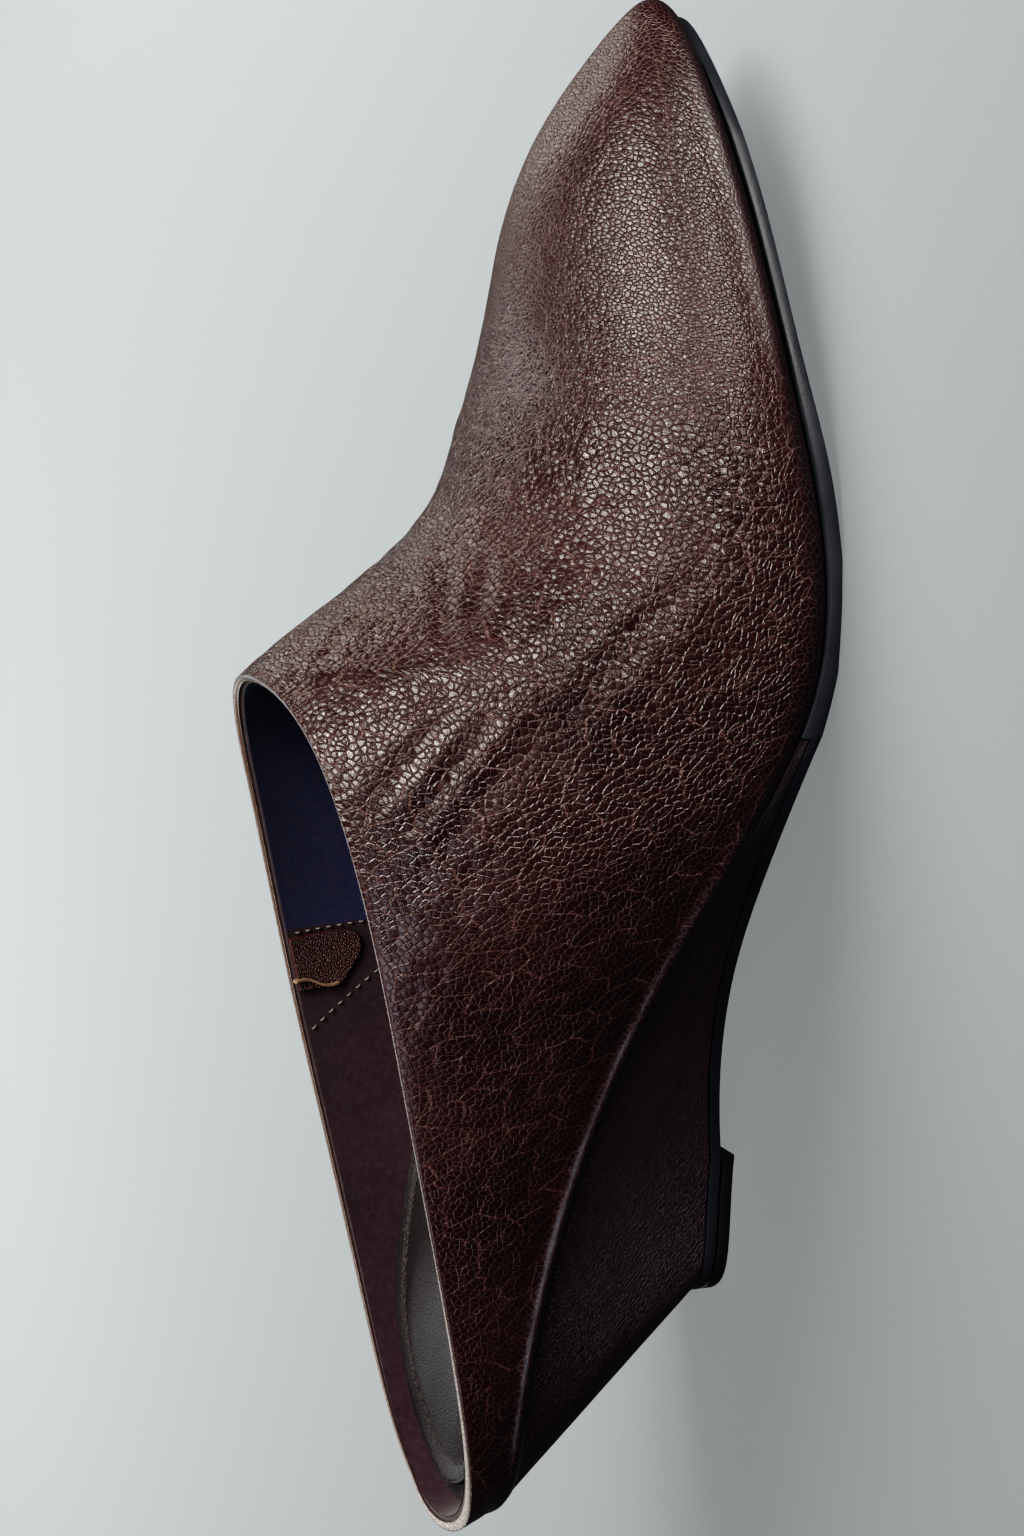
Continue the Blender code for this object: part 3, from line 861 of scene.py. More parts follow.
def sheet_normals(points, numbers):
    """Unit normals of a welded sheet, pointing outwards."""
    normals = np.zeros_like(points)
    for side, grid in numbers.items():
        corners = quad_corners(grid)
        a, b, c, d = (points[corner] for corner in corners)
        face = np.cross(c - a, d - b) * -side
        for corner in corners:
            np.add.at(normals, corner.ravel(), face.reshape(-1, 3))
    return unit(normals)


def fold_relief(points):
    """Height of the listed folds at each point: troughs with soft ridges beside them."""
    relief = np.zeros(len(points))
    t = np.linspace(0.0, 1.0, 40)
    for side, start, middle, end, width, depth in FOLDS:
        marks = np.array([start, middle, end])
        curve = spline([0.0, 0.5, 1.0], marks[:, 0]), spline([0.0, 0.5, 1.0], marks[:, 1])
        line = wall(curve[0](t), curve[1](t), side)
        reach = np.all(np.abs(points - line.mean(axis=0)) < 60.0, axis=1)
        near = points[reach]
        gaps = np.linalg.norm(near[:, None, :] - line[None, :, :], axis=2)
        closest = gaps.argmin(axis=1)
        distance = gaps[np.arange(len(near)), closest] / width
        taper = np.sin(math.pi * np.clip(0.04 + 0.92 * t[closest], 0.0, 1.0)) ** 0.7
        trough = -np.exp(-distance ** 2)
        shoulder = FOLD_SHOULDER * np.exp(-((distance - 1.9) / 0.9) ** 2)
        relief[reach] += depth * taper * (trough + shoulder)
    return relief


def ripple(points, wavelength, seed):
    """Soft irregular swelling of leather, from a few crossed waves."""
    rng = np.random.default_rng(seed)
    total = np.zeros(len(points))
    for _ in range(14):
        direction = unit(rng.normal(size=3)) * 2.0 * math.pi / (wavelength * rng.uniform(0.7, 1.5))
        total += np.sin(points @ direction + rng.uniform(0.0, 2.0 * math.pi))
    return total / 14.0 ** 0.5


def flatten(points, triangles, pins, spots):
    """Flat pattern of a sheet that keeps its angles, as complex numbers; two points are pinned."""
    a, b, c = (points[triangles[:, k]] for k in range(3))
    along = unit(b - a)
    beside = np.cross(unit(np.cross(b - a, c - a)), along)
    flat = [
        np.zeros(len(a), dtype=complex),
        np.sum((b - a) * along, axis=1) + 0j,
        np.sum((c - a) * along, axis=1) + 1j * np.sum((c - a) * beside, axis=1),
    ]
    root = np.sqrt(np.maximum(flat[1].real * flat[2].imag / 2.0, 1e-6))
    matrix = np.zeros((len(triangles), len(points)), dtype=complex)
    rows = np.arange(len(triangles))
    for k in range(3):
        matrix[rows, triangles[:, k]] += (flat[(k + 2) % 3] - flat[(k + 1) % 3]) / root
    free = np.setdiff1d(np.arange(len(points)), pins)
    known = matrix[:, free].conj().T
    answer = np.zeros(len(points), dtype=complex)
    answer[pins] = spots
    answer[free] = np.linalg.solve(known @ matrix[:, free], -known @ (matrix[:, pins] @ spots))
    return answer


def flat_charts(sections, shares):
    """Flat pattern of the upper in millimetres, per side: what the leather was cut from."""
    back = np.linspace(0.0, THROAT, PATTERN_BACK + 1)[:-1]
    marks = np.concatenate([back, np.linspace(THROAT, 1.0, PATTERN_FRONT + 1)])
    levels = np.linspace(0.0, 1.0, PATTERN_ROWS + 1)
    shape = len(marks), len(levels)
    grids = {side: wall(marks[:, None], top_q(marks, side)[:, None] * levels, side) for side in (-1, 1)}
    points = np.concatenate([grids[-1].reshape(-1, 3), grids[1].reshape(-1, 3)])
    lateral = np.arange(shape[0] * shape[1]).reshape(shape)
    medial = lateral + lateral.size
    medial[-1] = lateral[-1]
    medial[PATTERN_BACK:, -1] = lateral[PATTERN_BACK:, -1]
    triangles = []
    for side, grid in ((-1, lateral), (1, medial)):
        corners = quad_corners(grid)
        for picks in ((0, 1, 2), (0, 2, 3)):
            found = np.stack([corners[k].ravel() for k in picks], axis=1)
            triangles.append(found if side < 0 else found[:, ::-1])
    triangles = np.concatenate(triangles)
    distinct = np.array([len(set(row)) == 3 for row in triangles.tolist()])
    used = np.unique(triangles[distinct])
    place = np.zeros(len(points), dtype=int)
    place[used] = np.arange(len(used))
    throat, toe = lateral[PATTERN_BACK, -1], lateral[-1, -1]
    reach = float(np.linalg.norm(points[toe] - points[throat]))
    pattern = flatten(points[used], place[triangles[distinct]], place[[throat, toe]], np.array([0.0, reach]))
    charts = {}
    for side, grid in ((-1, lateral), (1, medial)):
        coarse = pattern[place[grid]]
        rows = np.array([np.interp(shares, levels, row) for row in coarse])
        fine = np.array([np.interp(sections, marks, line) for line in rows.T]).T
        charts[side] = np.stack([fine.real, fine.imag], axis=-1)
    return charts


def topline_ring(numbers, throat):
    """Point numbers round the collar: lateral side to the throat, then back along the medial side."""
    lateral, medial = numbers[-1], numbers[1]
    return np.concatenate([lateral[:throat + 1, -1], medial[throat - 1:0:-1, -1]])


def build_shell(name, sections, shares, outer_share, inner_share, rim, relief):
    """One layer of the upper's wall, from one share of its thickness to another, as a closed shell."""
    mesh = Mesh(name)
    throat = int(np.searchsorted(sections, THROAT - 1e-6))
    tops = {side: top_q(sections, side) for side in (-1, 1)}
    inner_shares = np.linspace(0.0, 1.0, INNER_ROWS if relief else LINING_ROWS)
    layers = []
    for layer_shares, depth in ((shares, outer_share), (inner_shares, inner_share)):
        grids = {}
        for side in (-1, 1):
            grids[side] = wall(sections[:, None], tops[side][:, None] * layer_shares[None, :], side)
        numbers = sides_numbers(mesh, grids, throat)
        normals = sheet_normals(mesh.points, numbers)
        feet = np.unique(np.concatenate([numbers[-1][:, 0], numbers[1][:, 0]]))
        normals[feet, 2] = 0.0
        normals[feet] = unit(normals[feet])
        mine = np.unique(np.concatenate([numbers[-1].ravel(), numbers[1].ravel()]))
        base = mesh.points[mine]
        moved = base - normals[mine] * (wall_thickness(base[:, 0]) * depth)[:, None]
        mesh.points[mine] = moved
        mesh.points[feet, 2] = SEAT_Z(mesh.points[feet, 0])
        layers.append((numbers, normals))
    (outer, outer_normals), (inner, _) = layers

    ring = topline_ring(outer, throat)
    inner_ring = topline_ring(inner, throat)
    top = mesh.points[ring].copy()
    closed = np.concatenate([top[-1:], top, top[:1]])
    tangent = unit(closed[2:] - closed[:-2])
    top_normal = outer_normals[ring]
    upward = unit(np.cross(top_normal, tangent))
    thickness = wall_thickness(top[:, 0])[:, None]
    rim_rows = []
    for share, rise in rim:
        row = top - top_normal * thickness * (share - outer_share) + upward * rise
        rim_rows.append(mesh.add(row))
        mesh.value("rim", rim_rows[-1], share)
    mesh.points[inner_ring] += upward * rim[-1][1]

    sheet = np.unique(np.concatenate([outer[-1].ravel(), outer[1].ravel()]))
    if relief:
        relief(mesh, sheet, outer, outer_normals, top, sections)
    charts = flat_charts(sections, shares) if relief else {-1: None, 1: None}
    for side in (-1, 1):
        mesh.skin(outer[side], flip=side > 0, chart=charts[side])
        mesh.skin(inner[side], flip=side < 0)
        mesh.skin(np.stack([inner[side][:, 0], outer[side][:, 0]], axis=1), flip=side > 0)
        mesh.value("rim", inner[side], 1.0)
    rows = np.stack([ring, *rim_rows, inner_ring], axis=1)
    run = np.cumsum(np.linalg.norm(np.diff(closed[:-1], axis=0), axis=1))
    lift = np.arange(rows.shape[1]) * 0.3
    chart = np.stack(np.broadcast_arrays(run[:, None], lift), axis=-1)
    mesh.skin(np.concatenate([rows, rows[:1]]), chart=np.concatenate([chart, chart[-1:]]))
    return mesh


def leather_relief(mesh, sheet, outer, normals, top, sections):
    """Folds, swelling and the turned-under lower edge of the outer leather."""
    points = mesh.points[sheet]
    edge = np.full(len(points), FAR)
    close = points[:, 2] > COLLAR_BACK_Z - 8.0
    edge[close] = nearest(points[close], top[::2])
    foot = np.full(len(mesh.points), FAR)
    inward = np.zeros_like(mesh.points)
    for side, grid in outer.items():
        steps = np.linalg.norm(np.diff(mesh.points[grid], axis=1), axis=2)
        foot[grid[:, 1:]] = np.cumsum(steps, axis=1)
        foot[grid[:, 0]] = 0.0
        inward[grid] = -outward(sections, side)[:, None, :]
    low = foot[sheet]
    mesh.value("edge", sheet, edge)
    mesh.value("foot", sheet, low)
    x = points[:, 0]
    swelling = sum(size * ripple(points, wavelength, seed) for size, wavelength, seed in RIPPLES)
    height = fold_relief(points) + (1.0 - TIGHT_LOSS * smooth(x, *TIGHT_X)) * swelling
    height *= smooth(edge, 0.3, 5.0) * smooth(low, 0.8, 6.0)
    bulge = np.exp(-((low - TOE_SWELLING_LEVEL) / TOE_SWELLING_WIDTH) ** 2)
    height += TOE_SWELLING * smooth(x, *TOE_SWELLING_X) * bulge
    over_wedge = 1.0 - smooth(x, *BEAD_END)
    bead = BEAD * (0.35 + 0.65 * smooth(x, *BEAD_START)) * np.exp(-((low - BEAD_LEVEL) / BEAD_WIDTH) ** 2)
    drop = np.clip(1.0 - low / LOWER_TURN, 0.0, 1.0)
    turn = LOWER_DEPTH * (1.0 - np.sqrt(1.0 - drop ** 2)) * (1.0 - over_wedge)
    turn -= bead * over_wedge
    mesh.points[sheet] = points + normals[sheet] * height[:, None] + inward[sheet] * turn[:, None]


def build_upper():
    """Outer leather and suede lining of the upper."""
    sections = np.concatenate([
        even_sections(0.0, THROAT, BACK_STATIONS)[:-1],
        even_sections(THROAT, 1.0, FRONT_STATIONS),
    ])
    shares = np.concatenate([LOW_ROWS, np.linspace(0.055, 1.0, UPPER_ROWS)])
    leather = build_shell("upper_leather", sections, shares, 0.0, LEATHER_SHARE, LEATHER_RIM, leather_relief)
    leather.make(leather_finish(), "upper", "upper", sharp=70.0)
    coarse = sections[::2]
    rows = np.linspace(0.0, 1.0, INNER_ROWS)
    lining = build_shell("lining", coarse, rows, LINING_START, 1.0, LINING_RIM, None)
    lining.make(lining_finish(), "upper", sharp=60.0)


def stitch_run(mesh, line, normals, pitch, length, radius):
    """Sewn stitches along a line on a surface: short arched threads with rounded ends."""
    steps = np.linalg.norm(np.diff(line, axis=0), axis=1)
    run = np.concatenate([[0.0], np.cumsum(steps)])
    count = int(run[-1] / pitch)
    turn = np.linspace(0.0, 2.0 * math.pi, 9)[:-1]
    for i in range(count):
        start = (i + 0.5) * run[-1] / count - length / 2.0
        rings = []
        for k in range(9):
            t = k / 8.0
            at = start + length * t
            spot = read_off(at, run, line)
            normal = unit(read_off(at, run, normals))
            along = unit(read_off(at + 0.2, run, line) - spot)
            beside = np.cross(along, normal)
            size = radius * max(math.sin(math.pi * (0.06 + 0.88 * t)), 0.0) ** 0.35
            centre = spot + normal * radius * (1.3 * math.sin(math.pi * t) - 0.55)
            rings.append(centre + size * (np.cos(turn)[:, None] * normal + np.sin(turn)[:, None] * beside))
        mesh.tube(np.array(rings))


def straight(first, last, count):
    """s and q along a line between two marks on the wall."""
    t = np.linspace(0.0, 1.0, count)
    return first[0] + (last[0] - first[0]) * t, first[1] + (last[1] - first[1]) * t


def build_lining_stitches():
    """Sewn seams of the lining on the medial inner wall."""
    stitches = Mesh("lining_stitches")
    for marks in (VAMP_STITCH, SEAM):
        line, normals = inside_wall(*straight(*marks, 40), 1, STITCH_LIFT)
        stitch_run(stitches, line, normals, *LINING_STITCH)
    thread = thread_finish("pale_thread", colour(0.10, 0.075, 0.065), colour(0.25, 0.20, 0.17))
    stitches.make(thread, "upper")


def build_tab():
    """Small leather tab on the medial inner wall, hung from the topline."""
    columns, rows = TAB_GRID
    sections = np.linspace(*TAB_S, columns)
    tops = climb(sections, 1, lambda points: topline_z(points[..., 0], 1)) - 0.004
    share = np.linspace(0.0, 1.0, columns)
    corner = TAB_CORNER * (1.0 - np.sqrt(1.0 - np.clip((share - 0.45) / 0.55, 0.0, 1.0) ** 2))
    lows = TAB_LOW_Q + TAB_RISE * (1.0 - share) ** 2 + corner
    q = lows[:, None] + (tops - lows)[:, None] * np.linspace(0.0, 1.0, rows)[None, :]
    grid_s = np.broadcast_to(sections[:, None], q.shape)
    face, _ = inside_wall(grid_s, q, 1, TAB_THICKNESS)
    back, _ = inside_wall(grid_s, q, 1, 0.05)
    tab = Mesh("inner_tab")
    front_numbers, back_numbers = tab.add(face), tab.add(back)
    tab.skin(front_numbers, chart=np.stack([grid_s * TAB_FLAT[0], q * TAB_FLAT[1]], axis=-1))
    tab.skin(back_numbers, flip=True)
    tab.skin(np.stack([border_of(back_numbers), border_of(front_numbers)], axis=1))
    leather = cover_finish("tab_leather", colour(0.036, 0.0125, 0.0135), colour(0.068, 0.025, 0.024))
    tab.make(leather, "upper")


def build_strip():
    """Curling cut strip over the tab."""
    marks = np.linspace(0.0, 1.0, 30)
    s = np.linspace(*STRIP_S, len(marks)) + STRIP_CURL * np.sin(2.0 * math.pi * marks)
    q = np.linspace(*STRIP_Q, len(marks))
    corners = ((0.0, 0.1), (0.0, 1.2), (0.0011, 1.3), (0.0011, 0.1))
    loops = [inside_wall(s + ahead, q, 1, lift)[0] for ahead, lift in corners]
    strip = Mesh("raw_strip")
    strip.tube(np.stack(loops, axis=1))
    strip.make(raw_edge_finish(), "upper")


def heel_cup(s):
    """Depth of the footbed's hollow."""
    fade = np.clip((CUP_X[1] - feather_x(s)) / (CUP_X[1] - CUP_X[0]), 0.0, 1.0)
    return HEEL_CUP * fade * np.minimum(s * 8.0, 1.0)


def insole_edge(s, side, height):
    """Edge of the insole at a height above the feather line."""
    x = feather_x(s)
    room = wall_thickness(x) + INSOLE_ROOM + TOE_ROOM * np.maximum(0.0, (x - NARROW_X) / (TOE_X - NARROW_X))
    q = climb(s, side, lambda points: feather(s, side)[..., 2] + height)
    points = wall(s, q, side) - outward(s, side) * room[..., None]
    points[..., 2] = SEAT_Z(points[..., 0]) + height
    return points


def bed_points(s, rows, drop):
    """Top of the footbed from the lateral to the medial edge, lowered by drop."""
    height = FOOTBED_T(feather_x(s)) - drop
    lateral, medial = insole_edge(s, -1, height), insole_edge(s, 1, height)
    t = rows[None, :, None]
    points = lateral[:, None, :] * (1.0 - t) + medial[:, None, :] * t
    points[..., 2] -= heel_cup(s)[:, None] * 4.0 * rows * (1.0 - rows)
    return points


def build_insole():
    """Insole board with its grey cover."""
    s = even_sections(0.0, 1.0, SOLE_STATIONS)
    top = bed_points(s, np.linspace(0.0, 1.0, 28), SOCK)
    edge = FOOTBED_T(feather_x(s)) - SOCK
    levels = np.linspace(0.0, 1.0, 6)[:-1]
    sides = [np.stack([insole_edge(s, side, edge * level) for level in levels], axis=1) for side in (-1, 1)]
    board = Mesh("insole")
    numbers = board.add(np.concatenate([sides[0], top, sides[1][:, ::-1]], axis=1))
    numbers[0] = numbers[0, 0]
    numbers[-1] = numbers[-1, 0]
    board.wrap(numbers)
    grey = sock_finish("insole_cover", colour(0.010, 0.0080, 0.0095), colour(0.020, 0.016, 0.0185), 0.6)
    board.make(grey, "insole", "insole", sharp=60.0)


def sock_bed(s):
    """Sock laid on the footbed before it is shaped, and how far each point is from its edge."""
    fine = np.linspace(0.0, 1.0, 61)
    rows = fine - np.sin(2.0 * math.pi * fine) / (2.0 * math.pi) * 0.75
    bed = bed_points(s, rows, 0.0)
    x = feather_x(s)
    inset = SOCK_INSET + (SOCK_HEEL_INSET - SOCK_INSET) * (1.0 - smooth(x, HEEL_X, SOCK_HEEL_END_X))
    inset = inset + SOCK_TOE_INSET * smooth(x, NARROW_X, TOE_X)
    lateral = bed[:, 0] - outward(s, -1) * inset[:, None]
    medial = bed[:, -1] - outward(s, 1) * inset[:, None]
    plan = lateral[:, None] + (medial - lateral)[:, None] * rows[None, :, None]
    width = np.linalg.norm((bed[:, -1] - bed[:, 0])[:, :2], axis=1)
    margin = np.clip(inset / np.maximum(width, 0.1), 0.0, 0.5)[:, None]
    share = margin + (1.0 - 2.0 * margin) * rows[None, :]
    cup = heel_cup(s)[:, None] * 4.0 * share * (1.0 - share)
    plan[..., 2] = SEAT_Z(plan[..., 0]) + FOOTBED_T(plan[..., 0]) - cup
    outline = np.concatenate([plan[:, 0, :2], plan[::-1, -1, :2]])
    return plan, nearest(plan[..., :2].reshape(-1, 2), outline).reshape(plan.shape[:2])


def build_sock():
    """Padded sock with a rolled edge, a groove along its seam, and the stitches in the groove."""
    s = even_sections(0.0, 1.0, SOLE_STATIONS)
    plan, border = sock_bed(s)
    roll = np.sqrt(1.0 - (1.0 - np.clip(border / SOCK_ROLL, 0.0, 1.0)) ** 2)
    groove = SOCK_GROOVE * np.exp(-((border - SOCK_SEAM) / 0.55) ** 2)
    fade = (1.0 - smooth(feather_x(s), *SOCK_PAD_X))[:, None]
    pad = SOCK_CROWN * smooth(border, SOCK_SEAM, SOCK_SEAM + 5.0) * fade
    upper, lower = plan.copy(), plan.copy()
    upper[..., 2] += (SOCK - 0.05) * (roll - 1.0) + pad - groove
    lower[..., 2] -= SOCK - 0.02
    sock = Mesh("sock")
    above, below = sock.add(upper), sock.add(lower)
    below[:, 0], below[:, -1] = above[:, 0], above[:, -1]
    below[0], below[-1] = above[0], above[-1]
    sock.skin(above, chart=plan[..., :2])
    sock.skin(below, flip=True, chart=plan[..., :2])
    dark = sock_finish("sock_leather", colour(0.014, 0.0115, 0.0130), colour(0.028, 0.023, 0.0250), 0.6)
    piece = sock.make(dark, "insole", sharp=60.0)

    seam = Mesh("sock_stitches")
    line = seam_line(upper, border)
    stitch_run(seam, line, np.broadcast_to([0.0, 0.0, 1.0], line.shape), *SOCK_STITCH)
    thread = thread_finish("dark_thread", colour(0.022, 0.013, 0.014), colour(0.050, 0.030, 0.030))
    seam.make(thread, "insole")


def seam_line(top, border):
    """Line on the sock at the seam's distance from its edge, from one side round the heel to the other."""
    last = int(np.searchsorted(top[:, 0, 0], SEAM_END_X))
    middle = top.shape[1] // 2
    halves = []
    for columns in (range(0, middle + 1), range(top.shape[1] - 1, middle - 1, -1)):
        half = []
        for i in range(last):
            gaps = border[i, list(columns)]
            reach = np.maximum.accumulate(gaps)
            if reach[-1] < SOCK_SEAM:
                continue
            half.append(read_off(SOCK_SEAM, reach, top[i, list(columns)]))
        halves.append(np.array(half))
    return np.concatenate([halves[0][::-1], halves[1]])


def base_point(s, side):
    """Foot of the wedge's side below the feather point of a section."""
    t = (feather_x(s) - HEEL_X) / (WEDGE_X - HEEL_X)
    distance = (WEDGE_X - BASE_X) * t
    x = BASE_X + distance
    return np.stack([x, side * BASE_WIDTH[side](np.sqrt(distance)), ARCH_Z(x) + SOLE + GAP], axis=-1)


def build_wedge():
    """Leather-covered wedge, slightly slack where the cover is pulled round the back."""
    mesh = Mesh("wedge_cover")
    s = even_sections(0.0, float(section_of(WEDGE_X)), SOLE_STATIONS)
    levels = np.linspace(0.0, 1.0, WEDGE_ROWS + 1)
    size, wavelength, seed = COVER_SLACK
    halves = []
    for side in (-1, 1):
        top = feather(s, side) - outward(s, side) * COVER_INSET
        top[..., 2] = SEAT_Z(top[..., 0]) - GAP
        foot = base_point(s, side)
        rows = top[:, None] + (foot - top)[:, None] * levels[None, :, None]
        slack = size * ripple(rows.reshape(-1, 3), wavelength, seed).reshape(rows.shape[:2])
        slack *= np.sin(math.pi * levels)[None, :] ** 0.5
        rows[..., 1] += side * slack * smooth(feather_x(s), HEEL_X, 20.0)[:, None]
        halves.append(rows)
    numbers = [mesh.add(half) for half in halves]
    numbers[1][0] = numbers[0][0]
    height = np.linalg.norm(halves[0][:, -1] - halves[0][:, 0], axis=1)
    for side, grid, rows in zip((-1, 1), numbers, halves):
        run = np.zeros(rows.shape[:2])
        run[1:] = np.cumsum(np.linalg.norm(np.diff(rows, axis=0), axis=2), axis=0)
        rise = height[:, None] * levels * side
        chart = np.stack([run, rise], axis=-1)
        mesh.skin(grid, flip=side < 0, chart=chart)
    lateral, medial = numbers
    mesh.skin(np.stack([lateral[:, 0], medial[:, 0]], axis=1))
    mesh.skin(np.stack([lateral[:, -1], medial[:, -1]], axis=1), flip=True)
    mesh.skin(np.stack([lateral[-1], medial[-1]], axis=0).T)
    cover = cover_finish("cover_leather", colour(0.0165, 0.0070, 0.0150), colour(0.0300, 0.0130, 0.0260))
    mesh.make(cover, "wedge", "wedge")


def plan_outward(points, side):
    """Outward directions in plan along an outline that starts at its back."""
    run = np.gradient(points, axis=0)
    across = unit(np.stack([-run[:, 1], run[:, 0], np.zeros(len(points))], axis=-1) * side)
    across[0] = -1.0, 0.0, 0.0
    return across


def build_slab(name, outlines, low, high, material, slot, blunt_front):
    """Flat piece between two outlines with bevelled edges; low and high give its faces' heights."""
    mesh = Mesh(name)
    rows = []
    for side in (-1, 1):
        points = outlines[side]
        across = plan_outward(points, side)
        if not blunt_front:
            across[-1] = 1.0, 0.0, 0.0
        steps = ((BEVEL, 0.0), (BEVEL * 0.3, BEVEL * 0.3), (0.0, BEVEL))
        edges = [(inset, low(points[:, 0]) + rise) for inset, rise in steps]
        edges += [(inset, high(points[:, 0]) - rise) for inset, rise in steps[::-1]]
        profile = []
        for inset, height in edges:
            profile.append(points - across * inset)
            profile[-1][:, 2] = height
        rows.append(np.stack(profile, axis=1))
    ring = np.concatenate([rows[0][:, ::-1], rows[1]], axis=1)
    numbers = mesh.add(ring)
    count = rows[0].shape[1]
    ends = [0] if blunt_front else [0, -1]
    for end in ends:
        numbers[end, count:] = numbers[end, :count][::-1]
    mesh.wrap(numbers)
    if blunt_front:
        mesh.cap(numbers[-1])
    return mesh.make(material, slot, name.replace("_rubber", ""), sharp=35.0)


def build_outsole():
    """Thin sole: follows the wedge's base, steps up at its tip, then follows the feather line."""
    back = even_sections(0.0, float(section_of(WEDGE_X)), SOLE_STATIONS)
    front = even_sections(float(section_of(WEDGE_X + GAP)), 1.0, SOLE_STATIONS)
    x = feather_x(front)
    lip = SOLE_LIP * np.minimum((x - WEDGE_X) / LIP_RUN, 1.0)
    lip = lip - TOE_TUCK * np.maximum((x - TUCK_X) / (TOE_X - TUCK_X), 0.0)
    outlines = {}
    for side in (-1, 1):
        edge = feather(front, side) + outward(front, side) * lip[:, None]
        outlines[side] = np.concatenate([base_point(back, side), edge])

    def under(x):
        return np.maximum(np.where(x < FLAT_END, ARCH_Z(x), SPRING_Z(x)), 0.0)

    def above(x):
        return np.where(x <= WEDGE_X, ARCH_Z(x) + SOLE, SEAT_Z(x) - GAP)

    satin = rubber_finish("sole_rubber", colour(0.012, 0.0130, 0.017), colour(0.026, 0.028, 0.034), 0.42)
    build_slab("outsole_rubber", outlines, under, above, satin, "outsole", False)


def build_top_piece():
    """Lift under the heel, cut from the wedge's base outline."""
    share = LIFT_LENGTH / (WEDGE_X - BASE_X)
    last = float(section_of(HEEL_X + share * (WEDGE_X - HEEL_X)))
    s = even_sections(0.0, last, SOLE_STATIONS // 2)
    outlines = {side: base_point(s, side) for side in (-1, 1)}
    black = rubber_finish("lift_rubber", colour(0.007, 0.007, 0.008), colour(0.016, 0.016, 0.017), 0.42)
    build_slab(
        "top_piece_rubber", outlines, lambda x: 0.0 * x, lambda x: 0.0 * x + LIFT_HEIGHT,
        black, "top_piece", True,
    )


def to_frame(point):
    """A point of the last's frame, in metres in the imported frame."""
    return Vector((np.array(point) + SHIFT) * MM)


def group(name, pieces):
    """Collection that light linking takes its pieces from."""
    made = bpy.data.collections.new(name)
    for piece in pieces:
        made.objects.link(piece)
    return made


def place_lamp(data, receivers, spot, aim, blockers):
    """Lamp that falls on the receivers alone; only the blockers, or all pieces, cast its shadows."""
    lamp = bpy.data.objects.new(data.name, data)
    lamp.location = Vector(spot)
    lamp.visible_camera = False
    lamp.rotation_mode = "QUATERNION"
    lamp.rotation_quaternion = (Vector(aim) - Vector(spot)).to_track_quat("-Z", "Y")
    bpy.context.scene.collection.objects.link(lamp)
    lamp.light_linking.receiver_collection = group(data.name + "_receivers", receivers)
    if blockers:
        lamp.light_linking.blocker_collection = group(data.name + "_blockers", blockers)


def add_floor():
    """Pale paper floor, not mirrored in the leather."""
    half = FLOOR_SIZE / 2.0
    data = bpy.data.meshes.new("floor")
    corners = [(-half, -half), (half, -half), (half, half), (-half, half)]
    data.from_pydata([(x, y, -0.0001) for x, y in corners], [], [(0, 1, 2, 3)])
    made = Finish("floor_paper")
    tooth = made.speckle(700.0)
    made.set(Base_Color=made.blend(tooth, colour(0.465, 0.478, 0.472), colour(0.490, 0.503, 0.497)))
    made.set(Roughness=0.9, Specular_IOR_Level=0.2)
    data.materials.append(made.data)
    floor = bpy.data.objects.new("floor", data)
    floor.visible_glossy = False
    bpy.context.scene.collection.objects.link(floor)
    return floor


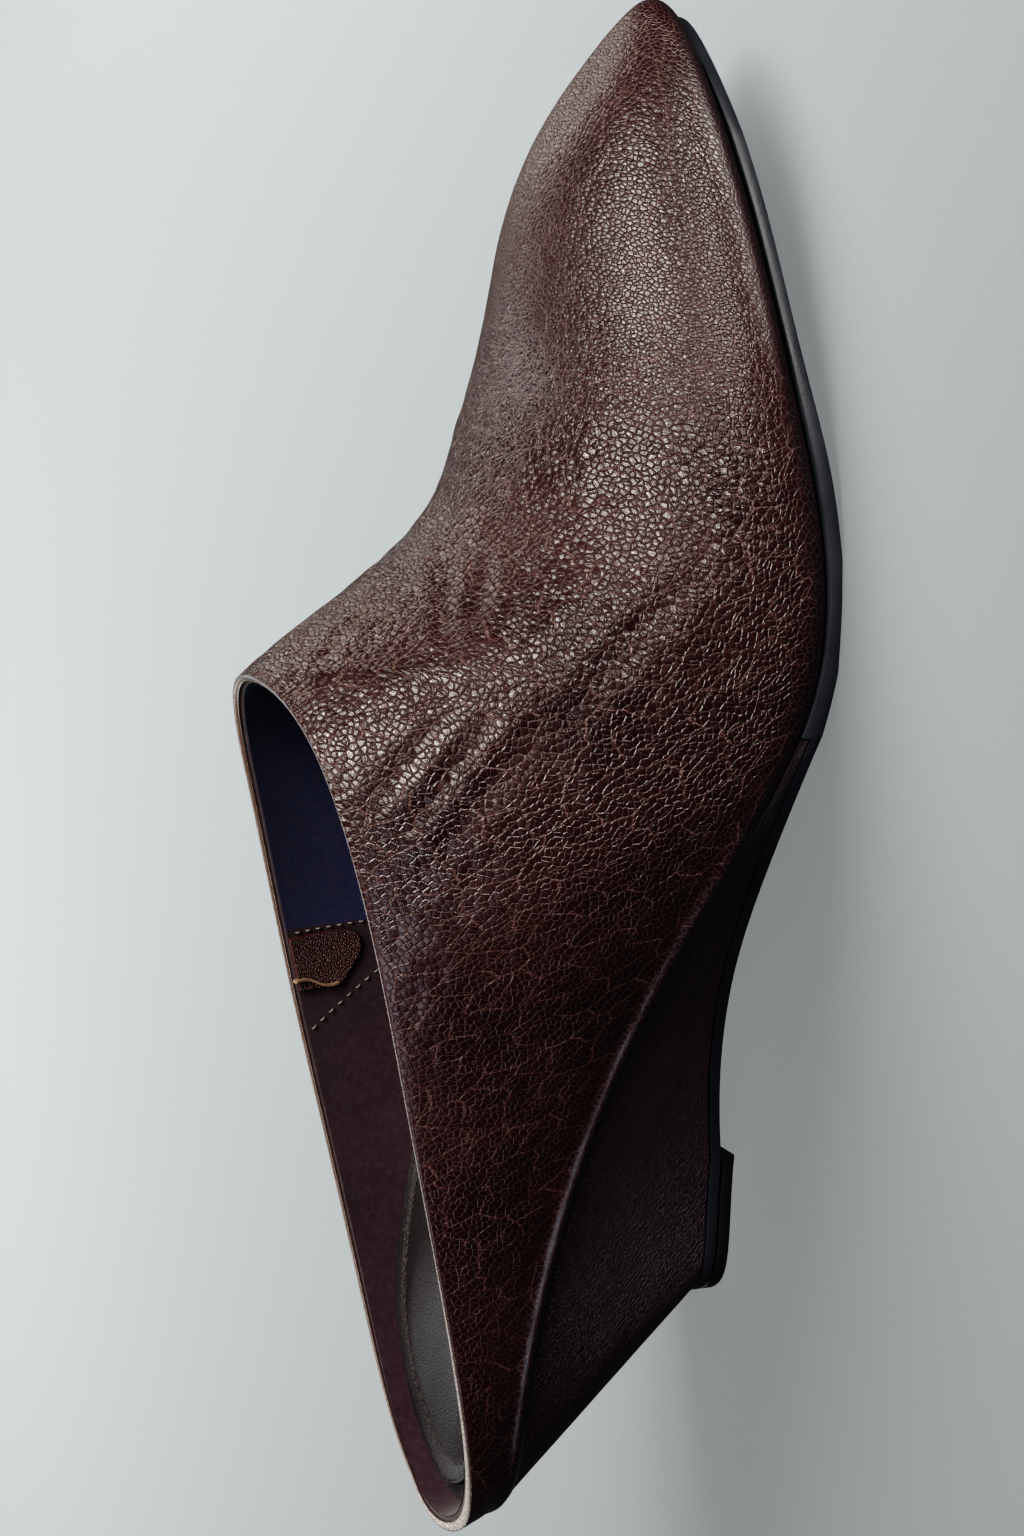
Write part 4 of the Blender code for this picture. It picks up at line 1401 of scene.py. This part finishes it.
def add_lights(floor):
    """Soft studio light on the floor and on the shoe."""
    world = bpy.data.worlds.new("studio")
    world.use_nodes = True
    shade = world.node_tree.nodes["Background"]
    shade.inputs["Color"].default_value = SKY
    shade.inputs["Strength"].default_value = SKY_STRENGTH
    bpy.context.scene.world = world
    shoe = [thing for thing in bpy.context.scene.objects if thing.type == "MESH" and thing != floor]
    outside = [thing for thing in shoe if thing.name in OUTSIDE]
    groups = {"floor": [floor], "shoe": shoe, "outside": outside, "all": None}
    room = bpy.data.lights.new("floor_even", "SUN")
    room.energy = EVEN_LIGHT
    place_lamp(room, [floor], (0.0, 0.0, 1.0), CENTRE, [floor])
    globe = bpy.data.lights.new("floor_top", "POINT")
    globe.energy = GLOBE_POWER
    globe.shadow_soft_size = GLOBE_RADIUS
    globe.color = COOL
    place_lamp(globe, [floor], GLOBE_SPOT, CENTRE, None)
    for name, lit, spot, aim, size, power, tint, blockers in LAMPS:
        data = bpy.data.lights.new(name, "AREA")
        data.shape = "RECTANGLE"
        data.size, data.size_y = size
        data.energy = power
        data.color = tint
        place_lamp(data, groups[lit], spot, aim, groups[blockers])


def add_camera():
    """Camera at the photograph's angle, rolled as it is, with a film-like tone curve."""
    azimuth, elevation = math.radians(CAMERA_AZIMUTH), math.radians(CAMERA_ELEVATION)
    roll = math.radians(CAMERA_ROLL)
    back = Vector((
        math.sin(azimuth) * math.cos(elevation),
        -math.cos(azimuth) * math.cos(elevation),
        math.sin(elevation),
    ))
    right = Vector((math.cos(azimuth), math.sin(azimuth), 0.0))
    up = back.cross(right)
    across = right * math.cos(roll) - up * math.sin(roll)
    upright = right * math.sin(roll) + up * math.cos(roll)
    lens = bpy.data.cameras.new("camera")
    lens.lens = CAMERA_LENS
    lens.clip_start = 0.01
    camera = bpy.data.objects.new("camera", lens)
    turn = Matrix((across, upright, back)).transposed().to_4x4()
    camera.matrix_world = Matrix.Translation(to_frame(CAMERA_TARGET) + back * CAMERA_DISTANCE * MM) @ turn
    bpy.context.scene.collection.objects.link(camera)
    bpy.context.scene.camera = camera
    view = bpy.context.scene.view_settings
    view.view_transform = "Standard"
    view.use_curve_mapping = True
    curve = view.curve_mapping.curves[3]
    for spot in TONE_CURVE:
        curve.points.new(*spot)
    view.curve_mapping.update()


build_upper()
build_lining_stitches()
build_tab()
build_strip()
build_insole()
build_sock()
build_wedge()
build_outsole()
build_top_piece()
add_lights(add_floor())
add_camera()
